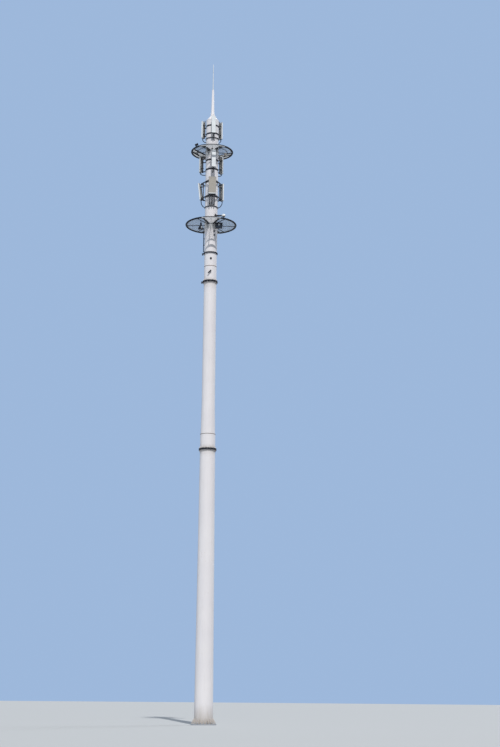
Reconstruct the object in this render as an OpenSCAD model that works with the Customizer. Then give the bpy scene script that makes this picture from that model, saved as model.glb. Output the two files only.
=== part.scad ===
// Monopole cell tower: a tubular steel shaft in four lengths, two winged platform discs,
// three levels of panel antennas, small fittings and a two-stage lightning spire.
// Front is -Y, right is +X and up is +Z. The origin is the centre of the base's underside.
// Angles round the shaft are counted from the front, positive towards the right.

/* [Shaft diameters] */
// Outer diameter of the shaft at the ground
base_d = 1060; // [1000:10:1120]
// Outer diameter at the lower joint and of the socket above it
socket_d = 880; // [870:5:900]
// Outer diameter above the socket, where the reducing cone starts
neck_d = 850; // [830:5:855]
// Outer diameter where the reducing cone ends
slim_d = 775; // [765:5:795]
// Outer diameter at the upper joint and of the port section above it
port_d = 745; // [735:5:752]
// Outer diameter of the head shaft
head_d = 760; // [756:2:780]
// Wall thickness of the lower shaft
lower_wall = 14; // [12:1:18]
// Wall thickness of the shaft above the lower joint
upper_wall = 10; // [8:1:12]

/* [Shaft heights] */
// Height of the lower flange joint
lower_joint_z = 15510; // [15000:10:16000]
// Height of the socket above the lower joint
socket_h = 870; // [700:10:1000]
// Height of the reducing cone above the socket
cone_h = 1950; // [1500:50:2500]
// Height of the upper flange joint
upper_joint_z = 25650; // [25300:10:25900]
// Height of the thin band above the upper joint
upper_band_rise = 920; // [700:10:1000]
// Height of the dark collar at the foot of the head shaft
collar_z = 27420; // [27350:5:27480]
// Height of the top edge of the head shaft
head_top_z = 35950; // [35900:10:36050]

/* [Base] */
// Thickness of the base flange
base_plate_t = 50; // [40:5:60]
// How far the base flange stands out from the shaft
base_plate_reach = 190; // [170:5:230]
// How far the circle of anchor holes lies out from the shaft
bolt_circle_out = 110; // [100:5:120]
// Radius of each anchor hole
anchor_hole_r = 24; // [18:1:28]
// Number of anchor holes, with a gusset between each two
anchor_count = 24; // [16:2:28]
// Height of the gussets on the base flange
gusset_h = 320; // [250:10:400]
// Height of the middle of the access hatch
hatch_z = 1350; // [1200:50:1600]
// Width of the access hatch's cover
hatch_w = 480; // [420:10:540]
// Height of the access hatch's cover
hatch_h = 980; // [800:10:1100]

/* [Joints] */
// How far the joint flanges stand out from the shaft
flange_reach = 75; // [65:5:90]
// Thickness of each of a joint's two flange plates
flange_t = 32; // [26:2:40]
// Height of the stiffening ribs at a joint
rib_h = 140; // [110:10:170]
// Number of stiffening ribs on each side of a joint
rib_count = 16; // [12:2:20]
// How far the collar at the foot of the head shaft stands out
head_collar_reach = 45; // [30:5:60]
// Height of that collar
head_collar_h = 60; // [40:5:80]

/* [Spire] */
// Height of the conical cap
cap_h = 350; // [300:10:400]
// Diameter of the spire tube at its foot
spire_foot_d = 200; // [180:5:215]
// Diameter of the spire tube at its top
spire_top_d = 124; // [112:2:136]
// Length of the spire tube
spire_tube_h = 1700; // [1500:50:1900]
// Diameter of the lightning rod at its foot
rod_d = 64; // [52:2:72]
// Length of the lightning rod
rod_h = 1750; // [1500:50:1900]

/* [Platform discs] */
// Height of the lower disc
lower_disc_z = 29225; // [29185:10:29265]
// Radius of the lower disc to the middle of its rim tube
lower_disc_r = 1490; // [1450:10:1540]
// Height of the upper disc
upper_disc_z = 33915; // [33900:5:33930]
// Radius of the upper disc to the middle of its rim tube
upper_disc_r = 1235; // [1200:5:1270]
// Diameter of the rim tube
rim_d = 100; // [92:2:108]
// Diameter of the spokes
spoke_d = 34; // [28:1:35]
// Width of the bridge between the wings at the collar
bridge_in_w = 290; // [260:10:320]
// Width of the bridge between the wings at the rim
bridge_out_w = 1000; // [900:10:1050]
// Corner radius of the lower disc's wings
lower_corner_r = 130; // [110:5:170]
// Corner radius of the upper disc's wings
upper_corner_r = 330; // [280:10:360]
// Spacing of the bars in the wings' mesh
mesh_pitch = 150; // [130:10:200]
// Width of each bar in the mesh
mesh_bar = 10; // [8:1:14]
// Height of the kick plate on the upper disc
kick_h = 130; // [100:5:160]

/* [Antennas] */
// Height of the antenna panels
panel_h = 1080; // [1040:10:1090]
// Width of a slim panel
panel_w = 260; // [240:5:280]
// Depth of a slim panel
panel_d = 100; // [90:5:110]
// Width of the wide panel at the front of the low level
wide_panel_w = 450; // [400:10:480]
// Depth of the wide panel
wide_panel_d = 140; // [120:5:150]
// Outer diameter of the antenna pipes
pipe_d = 60; // [54:2:66]
// Radius from the shaft's axis to the back of the top level's panels
top_back_r = 600; // [590:5:620]
// Radius from the shaft's axis to the back of the middle level's panels
mid_back_r = 703; // [690:5:715]
// Radius from the shaft's axis to the back of the low level's panels
low_back_r = 730; // [725:5:745]
// Height of the lower end of the low level's panels
low_level_z = 30940; // [30900:10:30980]
// Tilt of the low level's left panel
low_left_tilt = 7; // [4:1:8]

/* [Fittings] */
// Length of the camera's arm from the shaft's axis
camera_arm_x = 640; // [600:10:700]
// Diameter of the dome camera
dome_d = 220; // [190:10:240]
// Width of the right floodlight
flood_w = 420; // [380:10:440]
// Height of the right floodlight
flood_h = 330; // [280:10:360]
// Diameter of the conduit on the left of the head shaft
conduit_d = 46; // [40:2:56]
// Diameter of the cable runs between the panels and the shaft
jumper_d = 42; // [36:2:46]

/* [Hidden] */
$fn = 96;
// Gap between a fitted piece and its seat
seat = 0.3;
// Depth to which a welded rib or plate runs into the piece that it is part of
weld = 5;

head_r = head_d / 2;
port_r = port_d / 2;
head_foot_z = collar_z + head_collar_h / 2;
lower_band_z = lower_joint_z + socket_h;
spire_foot_z = head_top_z + cap_h;
rod_foot_z = spire_foot_z + spire_tube_h;

band_h = 28;
band_proud = 7;
// Lugs on the left of two dark rings
lug_out = 90;
lug_h = 130;
lug_t = 40;
lug_eye_d = 36;
gusset_t = 16;
rib_t = 10;
base_hole_r = base_d / 2 - 100;

// Collars that clamp round the head shaft
clamp_t = 15;
clamp_h = 60;
tall_clamp_h = 84;
ring_h = 45;
ring_reach = 32;

// Platform discs
disc_collar_t = 20;
disc_collar_r = head_r + disc_collar_t;
disc_collar_up = 60;
disc_collar_down = 300;
mesh_t = 6;
mesh_edge = 30;
bridge_bar_w = 44;
bridge_bar_h = 50;
rim_band_t = 60;
rim_band_h = 80;
edge_bar_t = 30;
edge_bar_h = 60;
inner_arc_share = 0.8;
grating_pitch = 90;
grating_bar = 9;
brace_t = 12;
brace_h = 230;
brace_reach = 290;
spoke_angles = [34, 94, 145];
braced_angles = [34, 145];
spoke_z = -(spoke_d / 2 + mesh_t / 2 + seat);
inner_rib_d = 30;
inner_rib_z = spoke_z - 3;
inner_rib_share = 0.74;
// The bent corner tubes are a little thicker than the rim, and take in its ends
bend_d = rim_d + 6;
bend_lap = 12;
// Distance of the mesh and the bridges from the middle of the wing's tubes
wing_gap = bend_d / 2 + 1.3;
kick_t = 8;
kick_in = 14;
kick_from = 95;
kick_to = 138;

// Antenna levels: the turn of each level and the heights of its parts
top_turn = 6;
mid_turn = 8;
low_turn = 3;
third = 120;
top_level_drop = 1015;
top_level_z = head_top_z - top_level_drop;
mid_level_gap = 90;
mid_level_z = upper_disc_z - rim_d / 2 - mid_level_gap - panel_h;
cap_t = 18;
cap_lip = 3;
connector_d = 34;
connector_h = 32;
pipe_wall = 5;
// How far the pipes stand out past the ends of the panels
pipe_spare = 25;
clamp_grip = 15;
bracket_w = 60;
bracket_h = 46;
bracket_in = 250;
low_bracket_from_foot = 75;
low_tilts = [0, 0, low_left_tilt];
// Distances of the clamps in from the ends of a panel
clamp_from_top = 460;
clamp_from_foot = 100;
mid_clamp_from_foot = 25;
arm_w = 50;
arm_h = 50;
top_pipe_r = top_back_r - 90;
mid_pipe_r = mid_back_r - 110;
low_pipe_r = low_back_r - 165;
// Hexagonal frames of the low level
frame_bar = 50;
frame_side_r = head_r + 75;
frame_corner_r = low_pipe_r + pipe_d / 2 + seat + frame_bar / 2;
frame_from_foot = 15;
frame_from_top = 115;

// Fittings
camera_z = lower_disc_z + 525;
camera_y = 290;
camera_arm_d = 86;
flood_out = 830;
flood_deep = 160;
flood_drop = 50;
hood_out = 1080;
// How far the ports lie below the lower disc, and the rings below the panels
round_port_drop = 480;
junction_port_drop = 720;
top_ring_drop = 200;
low_ring_drop = 620;
// Height of the bent outlet above the upper joint
spout_rise = 540;
junction_out = 880;
// How far the cable runs fall below the feet of the panels, level by level
top_drop = 280;
mid_drop = 180;
low_drop = 480;
gland_d = 74;
gland_out = 34;

white = [0.92, 0.92, 0.93];
radome_white = [0.86, 0.89, 0.93];
beige = [0.68, 0.66, 0.62];
dark = [0.10, 0.12, 0.18];
steel = [0.55, 0.58, 0.62];
mesh_grey = [0.56, 0.61, 0.68];
black = [0.05, 0.05, 0.06];

// Small vector helpers
function unit(v) = v / norm(v);
function flip_y(p) = [p[0], -p[1]];

// Turns a piece that is drawn at the front, on -Y, to an angle round the shaft
module around(angle) {
    rotate([0, 0, angle]) children();
}

module ring(outer_r, inner_r, h) {
    difference() {
        cylinder(r = outer_r, h = h);
        translate([0, 0, -1]) cylinder(r = inner_r, h = h + 2);
    }
}

module rod_between(p, q, d) {
    v = q - p;
    translate(p)
        rotate([0, acos(v[2] / norm(v)), atan2(v[1], v[0])])
            cylinder(d = d, h = norm(v));
}

// A rectangle with round corners, centred on x and reaching from y = -deep to y = 0
module round_rect(w, deep, r) {
    translate([-w / 2 + r, -deep]) square([w - 2 * r, deep]);
    translate([-w / 2, -deep + r]) square([w, deep - 2 * r]);
    for (x = [-w / 2 + r, w / 2 - r])
        for (y = [-deep + r, -r])
            translate([x, y]) circle(r = r, $fn = 32);
}

// A tube revolved from a list of [outer radius, height] points, with one wall thickness
module revolved_tube(points, wall) {
    inner = [for (i = [len(points) - 1 : -1 : 0]) [points[i][0] - wall, points[i][1]]];
    rotate_extrude() polygon(concat(points, inner));
}

// Triangular plates round a shaft, standing on z = 0 and leaning against its wall
module ribs(count, shaft_r, reach, h, t, first = 0) {
    for (i = [0 : count - 1])
        rotate([0, 0, first + i * 360 / count])
            translate([shaft_r - weld, t / 2, 0])
                rotate([90, 0, 0])
                    linear_extrude(t)
                        polygon([[0, 0], [reach + weld, 0], [reach + weld, h / 6], [weld + 8, h], [0, h]]);
}

// Base
module base_flange() {
    hole_circle_r = base_d / 2 + bolt_circle_out;
    color(steel) difference() {
        ring(base_d / 2 + base_plate_reach, base_hole_r, base_plate_t);
        for (i = [0 : anchor_count - 1])
            rotate([0, 0, i * 360 / anchor_count])
                translate([hole_circle_r, 0, -1])
                    cylinder(r = anchor_hole_r, h = base_plate_t + 2, $fn = 32);
    }
}

// Radius of the lower shaft at a height
function lower_r(z) =
    base_d / 2 + (socket_d - base_d) / 2 * (z - base_plate_t) / (lower_joint_z - base_plate_t);

// A stadium-shaped block on the back of the shaft, from the axis outwards
module hatch_block(w, h, out_r) {
    translate([0, 0, hatch_z]) rotate([-90, 0, 0]) linear_extrude(out_r) {
        square([w, h - w], center = true);
        for (s = [-1, 1]) translate([0, s * (h - w) / 2]) circle(d = w);
    }
}

module lower_shaft() {
    color(white) {
        difference() {
            revolved_tube([[base_d / 2, base_plate_t], [socket_d / 2, lower_joint_z]], lower_wall);
            hatch_block(hatch_w - 100, hatch_h - 100, base_d);
        }
        translate([0, 0, base_plate_t])
            ribs(anchor_count, base_d / 2, bolt_circle_out + 45, gusset_h, gusset_t, 180 / anchor_count);
        translate([0, 0, lower_joint_z - flange_t]) mirror([0, 0, 1])
            ribs(rib_count, socket_d / 2, flange_reach - 12, rib_h, rib_t);
    }
}

module access_hatch() {
    lip = 40;
    out_r = lower_r(hatch_z - hatch_h / 2) + 26;
    color(white) difference() {
        hatch_block(hatch_w, hatch_h, out_r);
        // The shaft's outer wall, as a solid cone
        rotate_extrude() polygon([[0, base_plate_t], [base_d / 2 + seat, base_plate_t],
            [socket_d / 2 + seat, lower_joint_z], [0, lower_joint_z]]);
        // A groove parts the cover from its frame
        difference() {
            hatch_block(hatch_w - lip, hatch_h - lip, out_r + 10);
            hatch_block(hatch_w - lip - 10, hatch_h - lip - 10, out_r + 20);
            cylinder(r = out_r - 12, h = lower_joint_z);
        }
    }
}

// A pair of bolted flange plates with a groove where they meet
module joint_flanges(shaft_r) {
    groove = 3;
    outer = shaft_r + flange_reach;
    color(dark) difference() {
        translate([0, 0, -flange_t]) ring(outer, shaft_r + seat, 2 * flange_t);
        translate([0, 0, -groove / 2]) ring(outer + 10, outer - 10, groove);
    }
}

// A lifting lug on the left of a dark ring: a tongue in the ring's edge and a plate with an eye
module side_lug(ring_r, ring_h) {
    color(dark) difference() {
        translate([-ring_r - lug_out, -lug_t / 2, 0]) {
            translate([0, 0, 6 - ring_h / 2]) cube([lug_out + 20, lug_t, ring_h - 12]);
            translate([0, 0, ring_h / 2 - 6 - lug_h]) cube([lug_out - 6, lug_t, lug_h]);
        }
        translate([-ring_r - lug_out / 2 - 3, lug_t, ring_h / 2 - lug_h + lug_eye_d])
            rotate([90, 0, 0]) cylinder(d = lug_eye_d, h = 2 * lug_t, $fn = 32);
    }
}

module lower_joint_flanges() {
    translate([0, 0, lower_joint_z]) joint_flanges(socket_d / 2);
}

module middle_shaft() {
    taper = (slim_d - port_d) / 2 / (upper_joint_z - lower_band_z - cone_h);
    color(white) {
        revolved_tube([[socket_d / 2, lower_joint_z], [socket_d / 2, lower_band_z],
            [neck_d / 2, lower_band_z + 0.01], [slim_d / 2, lower_band_z + cone_h],
            [port_r + taper * flange_t, upper_joint_z - flange_t], [port_r, upper_joint_z - flange_t + 0.01],
            [port_r, upper_joint_z]], upper_wall);
        translate([0, 0, lower_joint_z + flange_t])
            ribs(rib_count, socket_d / 2, flange_reach - 12, rib_h, rib_t);
        translate([0, 0, upper_joint_z - flange_t]) mirror([0, 0, 1])
            ribs(rib_count, port_r, flange_reach - 12, rib_h, rib_t);
    }
}

module upper_joint_flanges() {
    translate([0, 0, upper_joint_z]) {
        joint_flanges(port_r);
        side_lug(port_r + flange_reach, 2 * flange_t);
    }
}

module port_section() {
    color(white) {
        revolved_tube([[port_r, upper_joint_z], [port_r, head_foot_z]], upper_wall);
        translate([0, 0, upper_joint_z + flange_t])
            ribs(rib_count, port_r, flange_reach - 12, rib_h, rib_t);
    }
}

module seam_bands() {
    color(steel) {
        translate([0, 0, lower_band_z + 0.01])
            ring(socket_d / 2 + band_proud, neck_d / 2 + seat, band_h);
        translate([0, 0, upper_joint_z + upper_band_rise])
            ring(port_r + band_proud, port_r + seat, band_h);
    }
}

module head_collar() {
    color(dark) translate([0, 0, collar_z - head_collar_h / 2])
        ring(head_r + head_collar_reach, port_r + seat, head_collar_h);
    translate([0, 0, collar_z]) side_lug(head_r + head_collar_reach, head_collar_h);
}

module head_shaft() {
    color(white) revolved_tube([[head_r, head_foot_z], [head_r, head_top_z]], upper_wall);
}

// A round boss with a sunk face on the shaft's wall
module port_boss(angle, z, shaft_r, d, out) {
    around(angle) difference() {
        translate([0, 0, z]) rotate([90, 0, 0]) cylinder(d = d, h = shaft_r + out);
        translate([0, 0, z - d]) cylinder(r = shaft_r + seat, h = 2 * d);
        translate([0, 0, z]) rotate([90, 0, 0]) translate([0, 0, shaft_r + out - 12])
            cylinder(d = d * 0.66, h = 20);
    }
}

// A gland with a flat face, where a cable run enters the shaft
module gland(angle, x, z) {
    around(angle) difference() {
        translate([x, 0, z]) rotate([90, 0, 0]) cylinder(d = gland_d, h = head_r + gland_out, $fn = 32);
        translate([0, 0, z - gland_d]) cylinder(r = head_r + seat, h = 2 * gland_d);
    }
}

module cable_ports() {
    color(dark) {
        port_boss(3, collar_z - 390, port_r, 120, 30);
        port_boss(30, lower_disc_z - round_port_drop, head_r, 90, 30);
        port_boss(30, lower_disc_z - junction_port_drop, head_r, 90, 30);
        for (run = jumper_runs) gland(run[0], run[1], run[2] - run[5] - connector_h);
        cable_spout();
    }
}

// A bent outlet on the port section, its mouth turned down and to the left
module cable_spout() {
    spout_z = upper_joint_z + spout_rise;
    spout_out = 75;
    knee = [25, -(port_r + spout_out), spout_z + 60];
    mouth = [-130, -(port_r + spout_out), spout_z - 95];
    difference() {
        union() {
            rod_between([25, 0, spout_z + 60], knee, 70);
            translate(knee) sphere(d = 78, $fn = 48);
            rod_between(knee, mouth, 70);
        }
        translate([0, 0, spout_z - 200]) cylinder(r = port_r + seat, h = 400);
        rod_between(mouth - unit(knee - mouth), mouth + unit(knee - mouth) * 25, 50);
    }
}

module cable_rings() {
    color(dark)
        for (z = [top_level_z - top_ring_drop, low_level_z - low_ring_drop])
            translate([0, 0, z - ring_h / 2]) ring(head_r + ring_reach, head_r + seat, ring_h);
}

// A conduit on stand-off clips, with a bend into the shaft at each end
module side_conduit() {
    out = head_r + conduit_d / 2 + 28;
    low = head_foot_z + 90;
    high = lower_disc_z - disc_collar_down - 130;
    color(dark) around(-90) difference() {
        union() {
            translate([0, -out, low]) cylinder(d = conduit_d, h = high - low, $fn = 32);
            for (z = [low, high]) {
                translate([0, -out, z]) sphere(d = conduit_d + 6, $fn = 48);
                rod_between([0, 0, z], [0, -out, z], conduit_d);
            }
            for (z = [low + (high - low) / 3, low + (high - low) * 2 / 3])
                translate([-conduit_d / 2 - 8, -out, z - 20])
                    cube([conduit_d + 16, out, 40]);
        }
        translate([0, 0, low - 100]) cylinder(r = head_r + seat, h = high - low + 200);
    }
}

// Cap and spire
module cap_cone() {
    lip_t = 20;
    plate_r = spire_foot_d / 2 + 28;
    plate_t = 20;
    color(white) {
        translate([0, 0, head_top_z]) rotate_extrude()
            polygon([[0, 0], [head_r + 8, 0], [head_r + 8, lip_t], [head_r - 12, lip_t + 6],
                [head_r * 0.8, cap_h * 0.32], [plate_r, cap_h - plate_t], [plate_r, cap_h], [0, cap_h]]);
    }
}

module spire_tube() {
    fin_h = 200;
    color(white) translate([0, 0, spire_foot_z]) {
        difference() {
            cylinder(d1 = spire_foot_d, d2 = spire_top_d, h = spire_tube_h);
            translate([0, 0, -1])
                cylinder(d1 = spire_foot_d - 16, d2 = spire_top_d - 16, h = spire_tube_h - 20);
        }
        ribs(6, spire_foot_d / 2 - 5, 25, fin_h, 8);
    }
}

module spire_rod() {
    color(steel) translate([0, 0, rod_foot_z]) {
        cylinder(d = spire_top_d - 10, h = 16);
        cylinder(d = rod_d + 24, h = 70);
        cylinder(d1 = rod_d, d2 = rod_d * 0.45, h = rod_h - 80);
        translate([0, 0, rod_h - 80]) cylinder(d1 = rod_d * 0.45, d2 = 3, h = 80);
    }
}

// Platform discs. A wing's outline is an arc of the rim, two straight edges that run in to
// the collar and a round corner where each edge meets the rim. S is where an edge leaves the
// collar, u its direction, n its normal towards the wing, and F the middle of the corner.
function edge_start(w) = [-w / 2, -sqrt(pow(disc_collar_r, 2) - pow(w / 2, 2))];
function edge_dir(r) =
    unit([-bridge_out_w / 2, -sqrt(r * r - pow(bridge_out_w / 2, 2))] - edge_start(bridge_in_w));
function edge_normal(r) = [edge_dir(r)[1], -edge_dir(r)[0]];
function reach_along(p, u, goal) = -p * u + sqrt(pow(p * u, 2) - p * p + goal * goal);
function corner_run(r, corner_r) =
    reach_along(edge_start(bridge_in_w) + corner_r * edge_normal(r), edge_dir(r), r - corner_r);
function corner_mid(r, corner_r) =
    edge_start(bridge_in_w) + corner_r * edge_normal(r) + corner_run(r, corner_r) * edge_dir(r);

// Points along an arc
function arc_points(mid, r, from, to, steps) =
    [for (i = [0 : steps]) let (a = from + (to - from) * i / steps) mid + r * [cos(a), sin(a)]];

// The plan of the left wing, drawn in by a distance, or out where that is negative. It runs
// from inside the collar round the front corner, the rim and the back corner.
module wing_plan(r, corner_r, inset) {
    mid = corner_mid(r, corner_r);
    n = edge_normal(r);
    start = edge_start(bridge_in_w) + inset * n - 40 * edge_dir(r);
    edge_angle = atan2(-n[1], -n[0]);
    rim_angle = atan2(mid[1], mid[0]);
    corner = arc_points(mid, corner_r - inset, edge_angle, rim_angle, 14);
    rim = arc_points([0, 0], r - inset, rim_angle, -360 - rim_angle, 72);
    back = [for (i = [len(corner) - 1 : -1 : 0]) flip_y(corner[i])];
    polygon(concat([start], corner, [for (i = [1 : 71]) rim[i]], back, [flip_y(start)]));
}

// The bent tube at the front corner, and the straight one that runs from it to the collar
module corner_tube(r, corner_r) {
    mid = corner_mid(r, corner_r);
    n = edge_normal(r);
    u = edge_dir(r);
    from_angle = atan2(mid[1], mid[0]);
    to_angle = atan2(-n[1], -n[0]);
    start = edge_start(bridge_in_w) - 30 * u;
    end = edge_start(bridge_in_w) + (corner_run(r, corner_r) + bend_lap) * u;
    translate([mid[0], mid[1], 0]) rotate([0, 0, from_angle])
        rotate_extrude(angle = to_angle - from_angle)
            translate([corner_r, 0]) circle(d = bend_d, $fn = 32);
    rod_between([start[0], start[1], 0], [end[0], end[1], 0], rim_d);
}

// The tube frame of the left wing, with its spokes below the mesh
module wing_frame(r, corner_r) {
    mid = corner_mid(r, corner_r);
    rim_from = atan2(-mid[1], mid[0]) - atan(bend_lap / r);
    difference() {
        union() {
            rotate([0, 0, rim_from]) rotate_extrude(angle = 360 - 2 * rim_from, $fn = 192)
                translate([r, 0]) circle(d = rim_d, $fn = 32);
            corner_tube(r, corner_r);
            mirror([0, 1, 0]) corner_tube(r, corner_r);
            for (angle = spoke_angles)
                around(-angle) rod_between([0, -head_r, spoke_z], [0, -r, spoke_z], spoke_d);
            children();
        }
        translate([0, 0, -rim_d]) cylinder(r = disc_collar_r + seat, h = 2 * rim_d);
    }
}

// A second arc of tube under the left wing's mesh
module inner_rib(r) {
    rib_r = r * inner_rib_share;
    start = edge_start(bridge_in_w);
    rib_end = start + reach_along(start, edge_dir(r), rib_r) * edge_dir(r);
    rib_from = atan2(-rib_end[1], rib_end[0]);
    translate([0, 0, inner_rib_z]) rotate([0, 0, rib_from])
        rotate_extrude(angle = 360 - 2 * rib_from)
            translate([rib_r, 0]) circle(d = inner_rib_d, $fn = 24);
}

// The mesh panel of the left wing: a flat sheet with square holes inside its border
module wing_mesh(r, corner_r) {
    edge = wing_gap;
    hole = mesh_pitch - mesh_bar;
    cells = ceil(r / mesh_pitch);
    linear_extrude(mesh_t, center = true) difference() {
        wing_plan(r, corner_r, edge);
        circle(r = disc_collar_r + seat);
        intersection() {
            wing_plan(r, corner_r, edge + mesh_edge);
            difference() {
                rotate(45) for (i = [-cells : cells]) for (j = [-cells : cells])
                    if (mesh_cell_shows(i, j, r)) translate([i, j] * mesh_pitch) square(hole, center = true);
                circle(r = disc_collar_r + mesh_edge);
            }
        }
    }
}

// A hole is drawn only where some of it can lie inside the left wing
function mesh_cell_shows(i, j, r) =
    let (p = [(i - j) * mesh_pitch / sqrt(2), (i + j) * mesh_pitch / sqrt(2)])
    norm(p) < r + 40 && norm(p) > disc_collar_r - 90 && p[0] < 60 && abs(p[1]) < 2.8 * abs(p[0]) + 420;

// Both wings' plans, drawn out by a distance
module both_wings(r, corner_r, out) {
    for (s = [0, 1]) mirror([s, 0, 0]) wing_plan(r, corner_r, -out);
}

// The light grating of the bridges, inside a border, with its square holes
module bridge_grating(r, corner_r, arc_r) {
    cells = ceil(arc_r / grating_pitch);
    linear_extrude(mesh_t, center = true) difference() {
        circle(r = arc_r, $fn = 192);
        difference() {
            intersection() {
                circle(r = arc_r - mesh_edge, $fn = 192);
                for (i = [-3.5 : 3.5]) for (j = [-cells : cells])
                    if (abs(j) * grating_pitch > disc_collar_r - grating_pitch)
                        translate([i, j] * grating_pitch) square(grating_pitch - grating_bar, center = true);
            }
            circle(r = disc_collar_r + mesh_edge);
            both_wings(r, corner_r, wing_gap + mesh_edge);
        }
    }
}

// A round band, half above and half below the disc's middle
module disc_band(r, t, h) {
    translate([0, 0, -h / 2]) difference() {
        cylinder(r = r + t / 2, h = h, $fn = 192);
        translate([0, 0, -1]) cylinder(r = r - t / 2, h = h + 2, $fn = 192);
    }
}

// The open frames that bridge the front and the back between the wings: a band along the
// rim, an inner arc, a bar from the collar and the grating inside the arc
module disc_bridges(r, corner_r) {
    arc_r = r * inner_arc_share;
    difference() {
        union() {
            disc_band(arc_r, edge_bar_t, edge_bar_h);
            disc_band(r, rim_band_t, rim_band_h);
            for (s = [0, 180]) rotate([0, 0, s])
                translate([-bridge_bar_w / 2, -r, -bridge_bar_h / 2])
                    cube([bridge_bar_w, r - head_r, bridge_bar_h]);
            bridge_grating(r, corner_r, arc_r);
        }
        linear_extrude(2 * rim_d, center = true) both_wings(r, corner_r, wing_gap);
        translate([0, 0, -rim_d]) cylinder(r = disc_collar_r + seat, h = 2 * rim_d);
    }
}

// A curved upstand on the left wing's mesh, along the back of its rim
module kick_plate(r) {
    plate_r = r - wing_gap - kick_in;
    translate([0, 0, mesh_t / 2 + seat]) rotate([0, 0, -90 - kick_to])
        rotate_extrude(angle = kick_to - kick_from, $fn = 192)
            translate([plate_r - kick_t / 2, 0]) square([kick_t, kick_h]);
}

// A triangular plate under a spoke or a bridge, in the plane x = 0 and on the collar
module brace(top) {
    translate([-brace_t / 2, 0, 0]) rotate([90, 0, 90]) linear_extrude(brace_t)
        polygon([[-disc_collar_r + weld, top], [-disc_collar_r - brace_reach, top],
            [-disc_collar_r - brace_reach, top - 24], [-disc_collar_r - 20, top - brace_h],
            [-disc_collar_r + weld, top - brace_h]]);
}

module disc_collar() {
    spoke_seat = spoke_z - spoke_d / 2 - seat;
    bridge_seat = -bridge_bar_h / 2 - seat;
    difference() {
        union() {
            translate([0, 0, -disc_collar_down])
                cylinder(r = disc_collar_r, h = disc_collar_down + disc_collar_up);
            for (angle = braced_angles)
                for (s = [-1, 1]) around(s * angle) brace(spoke_seat);
            for (angle = [0, 180]) around(angle) brace(bridge_seat);
        }
        translate([0, 0, -disc_collar_down - 1])
            cylinder(r = head_r + seat, h = disc_collar_down + disc_collar_up + 2);
    }
}

module lower_disc_collar() {
    color(white) translate([0, 0, lower_disc_z]) disc_collar();
}

module lower_disc_left_frame() {
    color(dark) translate([0, 0, lower_disc_z]) wing_frame(lower_disc_r, lower_corner_r);
}

module lower_disc_right_frame() {
    color(dark) translate([0, 0, lower_disc_z]) mirror([1, 0, 0]) wing_frame(lower_disc_r, lower_corner_r);
}

module lower_disc_mesh() {
    color(mesh_grey) translate([0, 0, lower_disc_z])
        for (s = [0, 1]) mirror([s, 0, 0]) wing_mesh(lower_disc_r, lower_corner_r);
}

module lower_disc_bridges() {
    color(white) translate([0, 0, lower_disc_z]) disc_bridges(lower_disc_r, lower_corner_r);
}

module upper_disc_collar() {
    color(white) translate([0, 0, upper_disc_z]) disc_collar();
}

module upper_disc_left_frame() {
    color(dark) translate([0, 0, upper_disc_z])
        wing_frame(upper_disc_r, upper_corner_r) inner_rib(upper_disc_r);
}

module upper_disc_right_frame() {
    color(dark) translate([0, 0, upper_disc_z]) mirror([1, 0, 0])
        wing_frame(upper_disc_r, upper_corner_r) inner_rib(upper_disc_r);
}

module upper_disc_mesh() {
    color(mesh_grey) translate([0, 0, upper_disc_z])
        for (s = [0, 1]) mirror([s, 0, 0]) wing_mesh(upper_disc_r, upper_corner_r);
}

module upper_disc_bridges() {
    color(white) translate([0, 0, upper_disc_z]) disc_bridges(upper_disc_r, upper_corner_r);
}

module upper_disc_kick_plate() {
    color(white) translate([0, 0, upper_disc_z]) kick_plate(upper_disc_r);
}

// Antenna levels. Each level has panels at three angles, a third of a turn apart.
function level_angle(turn, i) = turn + i * third;

// Where the middle of a panel's back lies: its lower end stays at foot_z when it tilts
module at_panel(angle, back_r, foot_z, tilt) {
    around(angle) translate([0, -back_r, foot_z + panel_h / 2]) rotate([tilt, 0, 0]) children();
}

module panel(w, deep, connectors) {
    r = min(deep * 0.38, 30);
    translate([0, 0, -panel_h / 2]) {
        translate([0, 0, cap_t]) linear_extrude(panel_h - 2 * cap_t)
            translate([0, -cap_lip]) round_rect(w - 2 * cap_lip, deep - 2 * cap_lip, r - cap_lip);
        for (z = [0, panel_h - cap_t])
            translate([0, 0, z]) linear_extrude(cap_t) round_rect(w, deep, r);
        for (i = [0 : connectors - 1])
            translate([(i - (connectors - 1) / 2) * connector_step(w), -deep / 2, -connector_h])
                cylinder(d = connector_d + 12, h = connector_h + 1, $fn = 24);
    }
}

function connector_step(w) = w * 0.3;

module level_pipe(angle, pipe_r, foot_z) {
    around(angle) translate([0, -pipe_r, foot_z - pipe_spare]) difference() {
        cylinder(d = pipe_d, h = panel_h + 2 * pipe_spare, $fn = 48);
        translate([0, 0, -1])
            cylinder(d = pipe_d - 2 * pipe_wall, h = panel_h + 2 * pipe_spare + 2, $fn = 48);
    }
}

module antenna_pipes() {
    color(white) for (i = [0 : 2]) {
        level_pipe(level_angle(top_turn, i), top_pipe_r, top_level_z);
        level_pipe(level_angle(mid_turn, i), mid_pipe_r, mid_level_z);
        level_pipe(level_angle(low_turn, i), low_pipe_r, low_level_z);
    }
}

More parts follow.
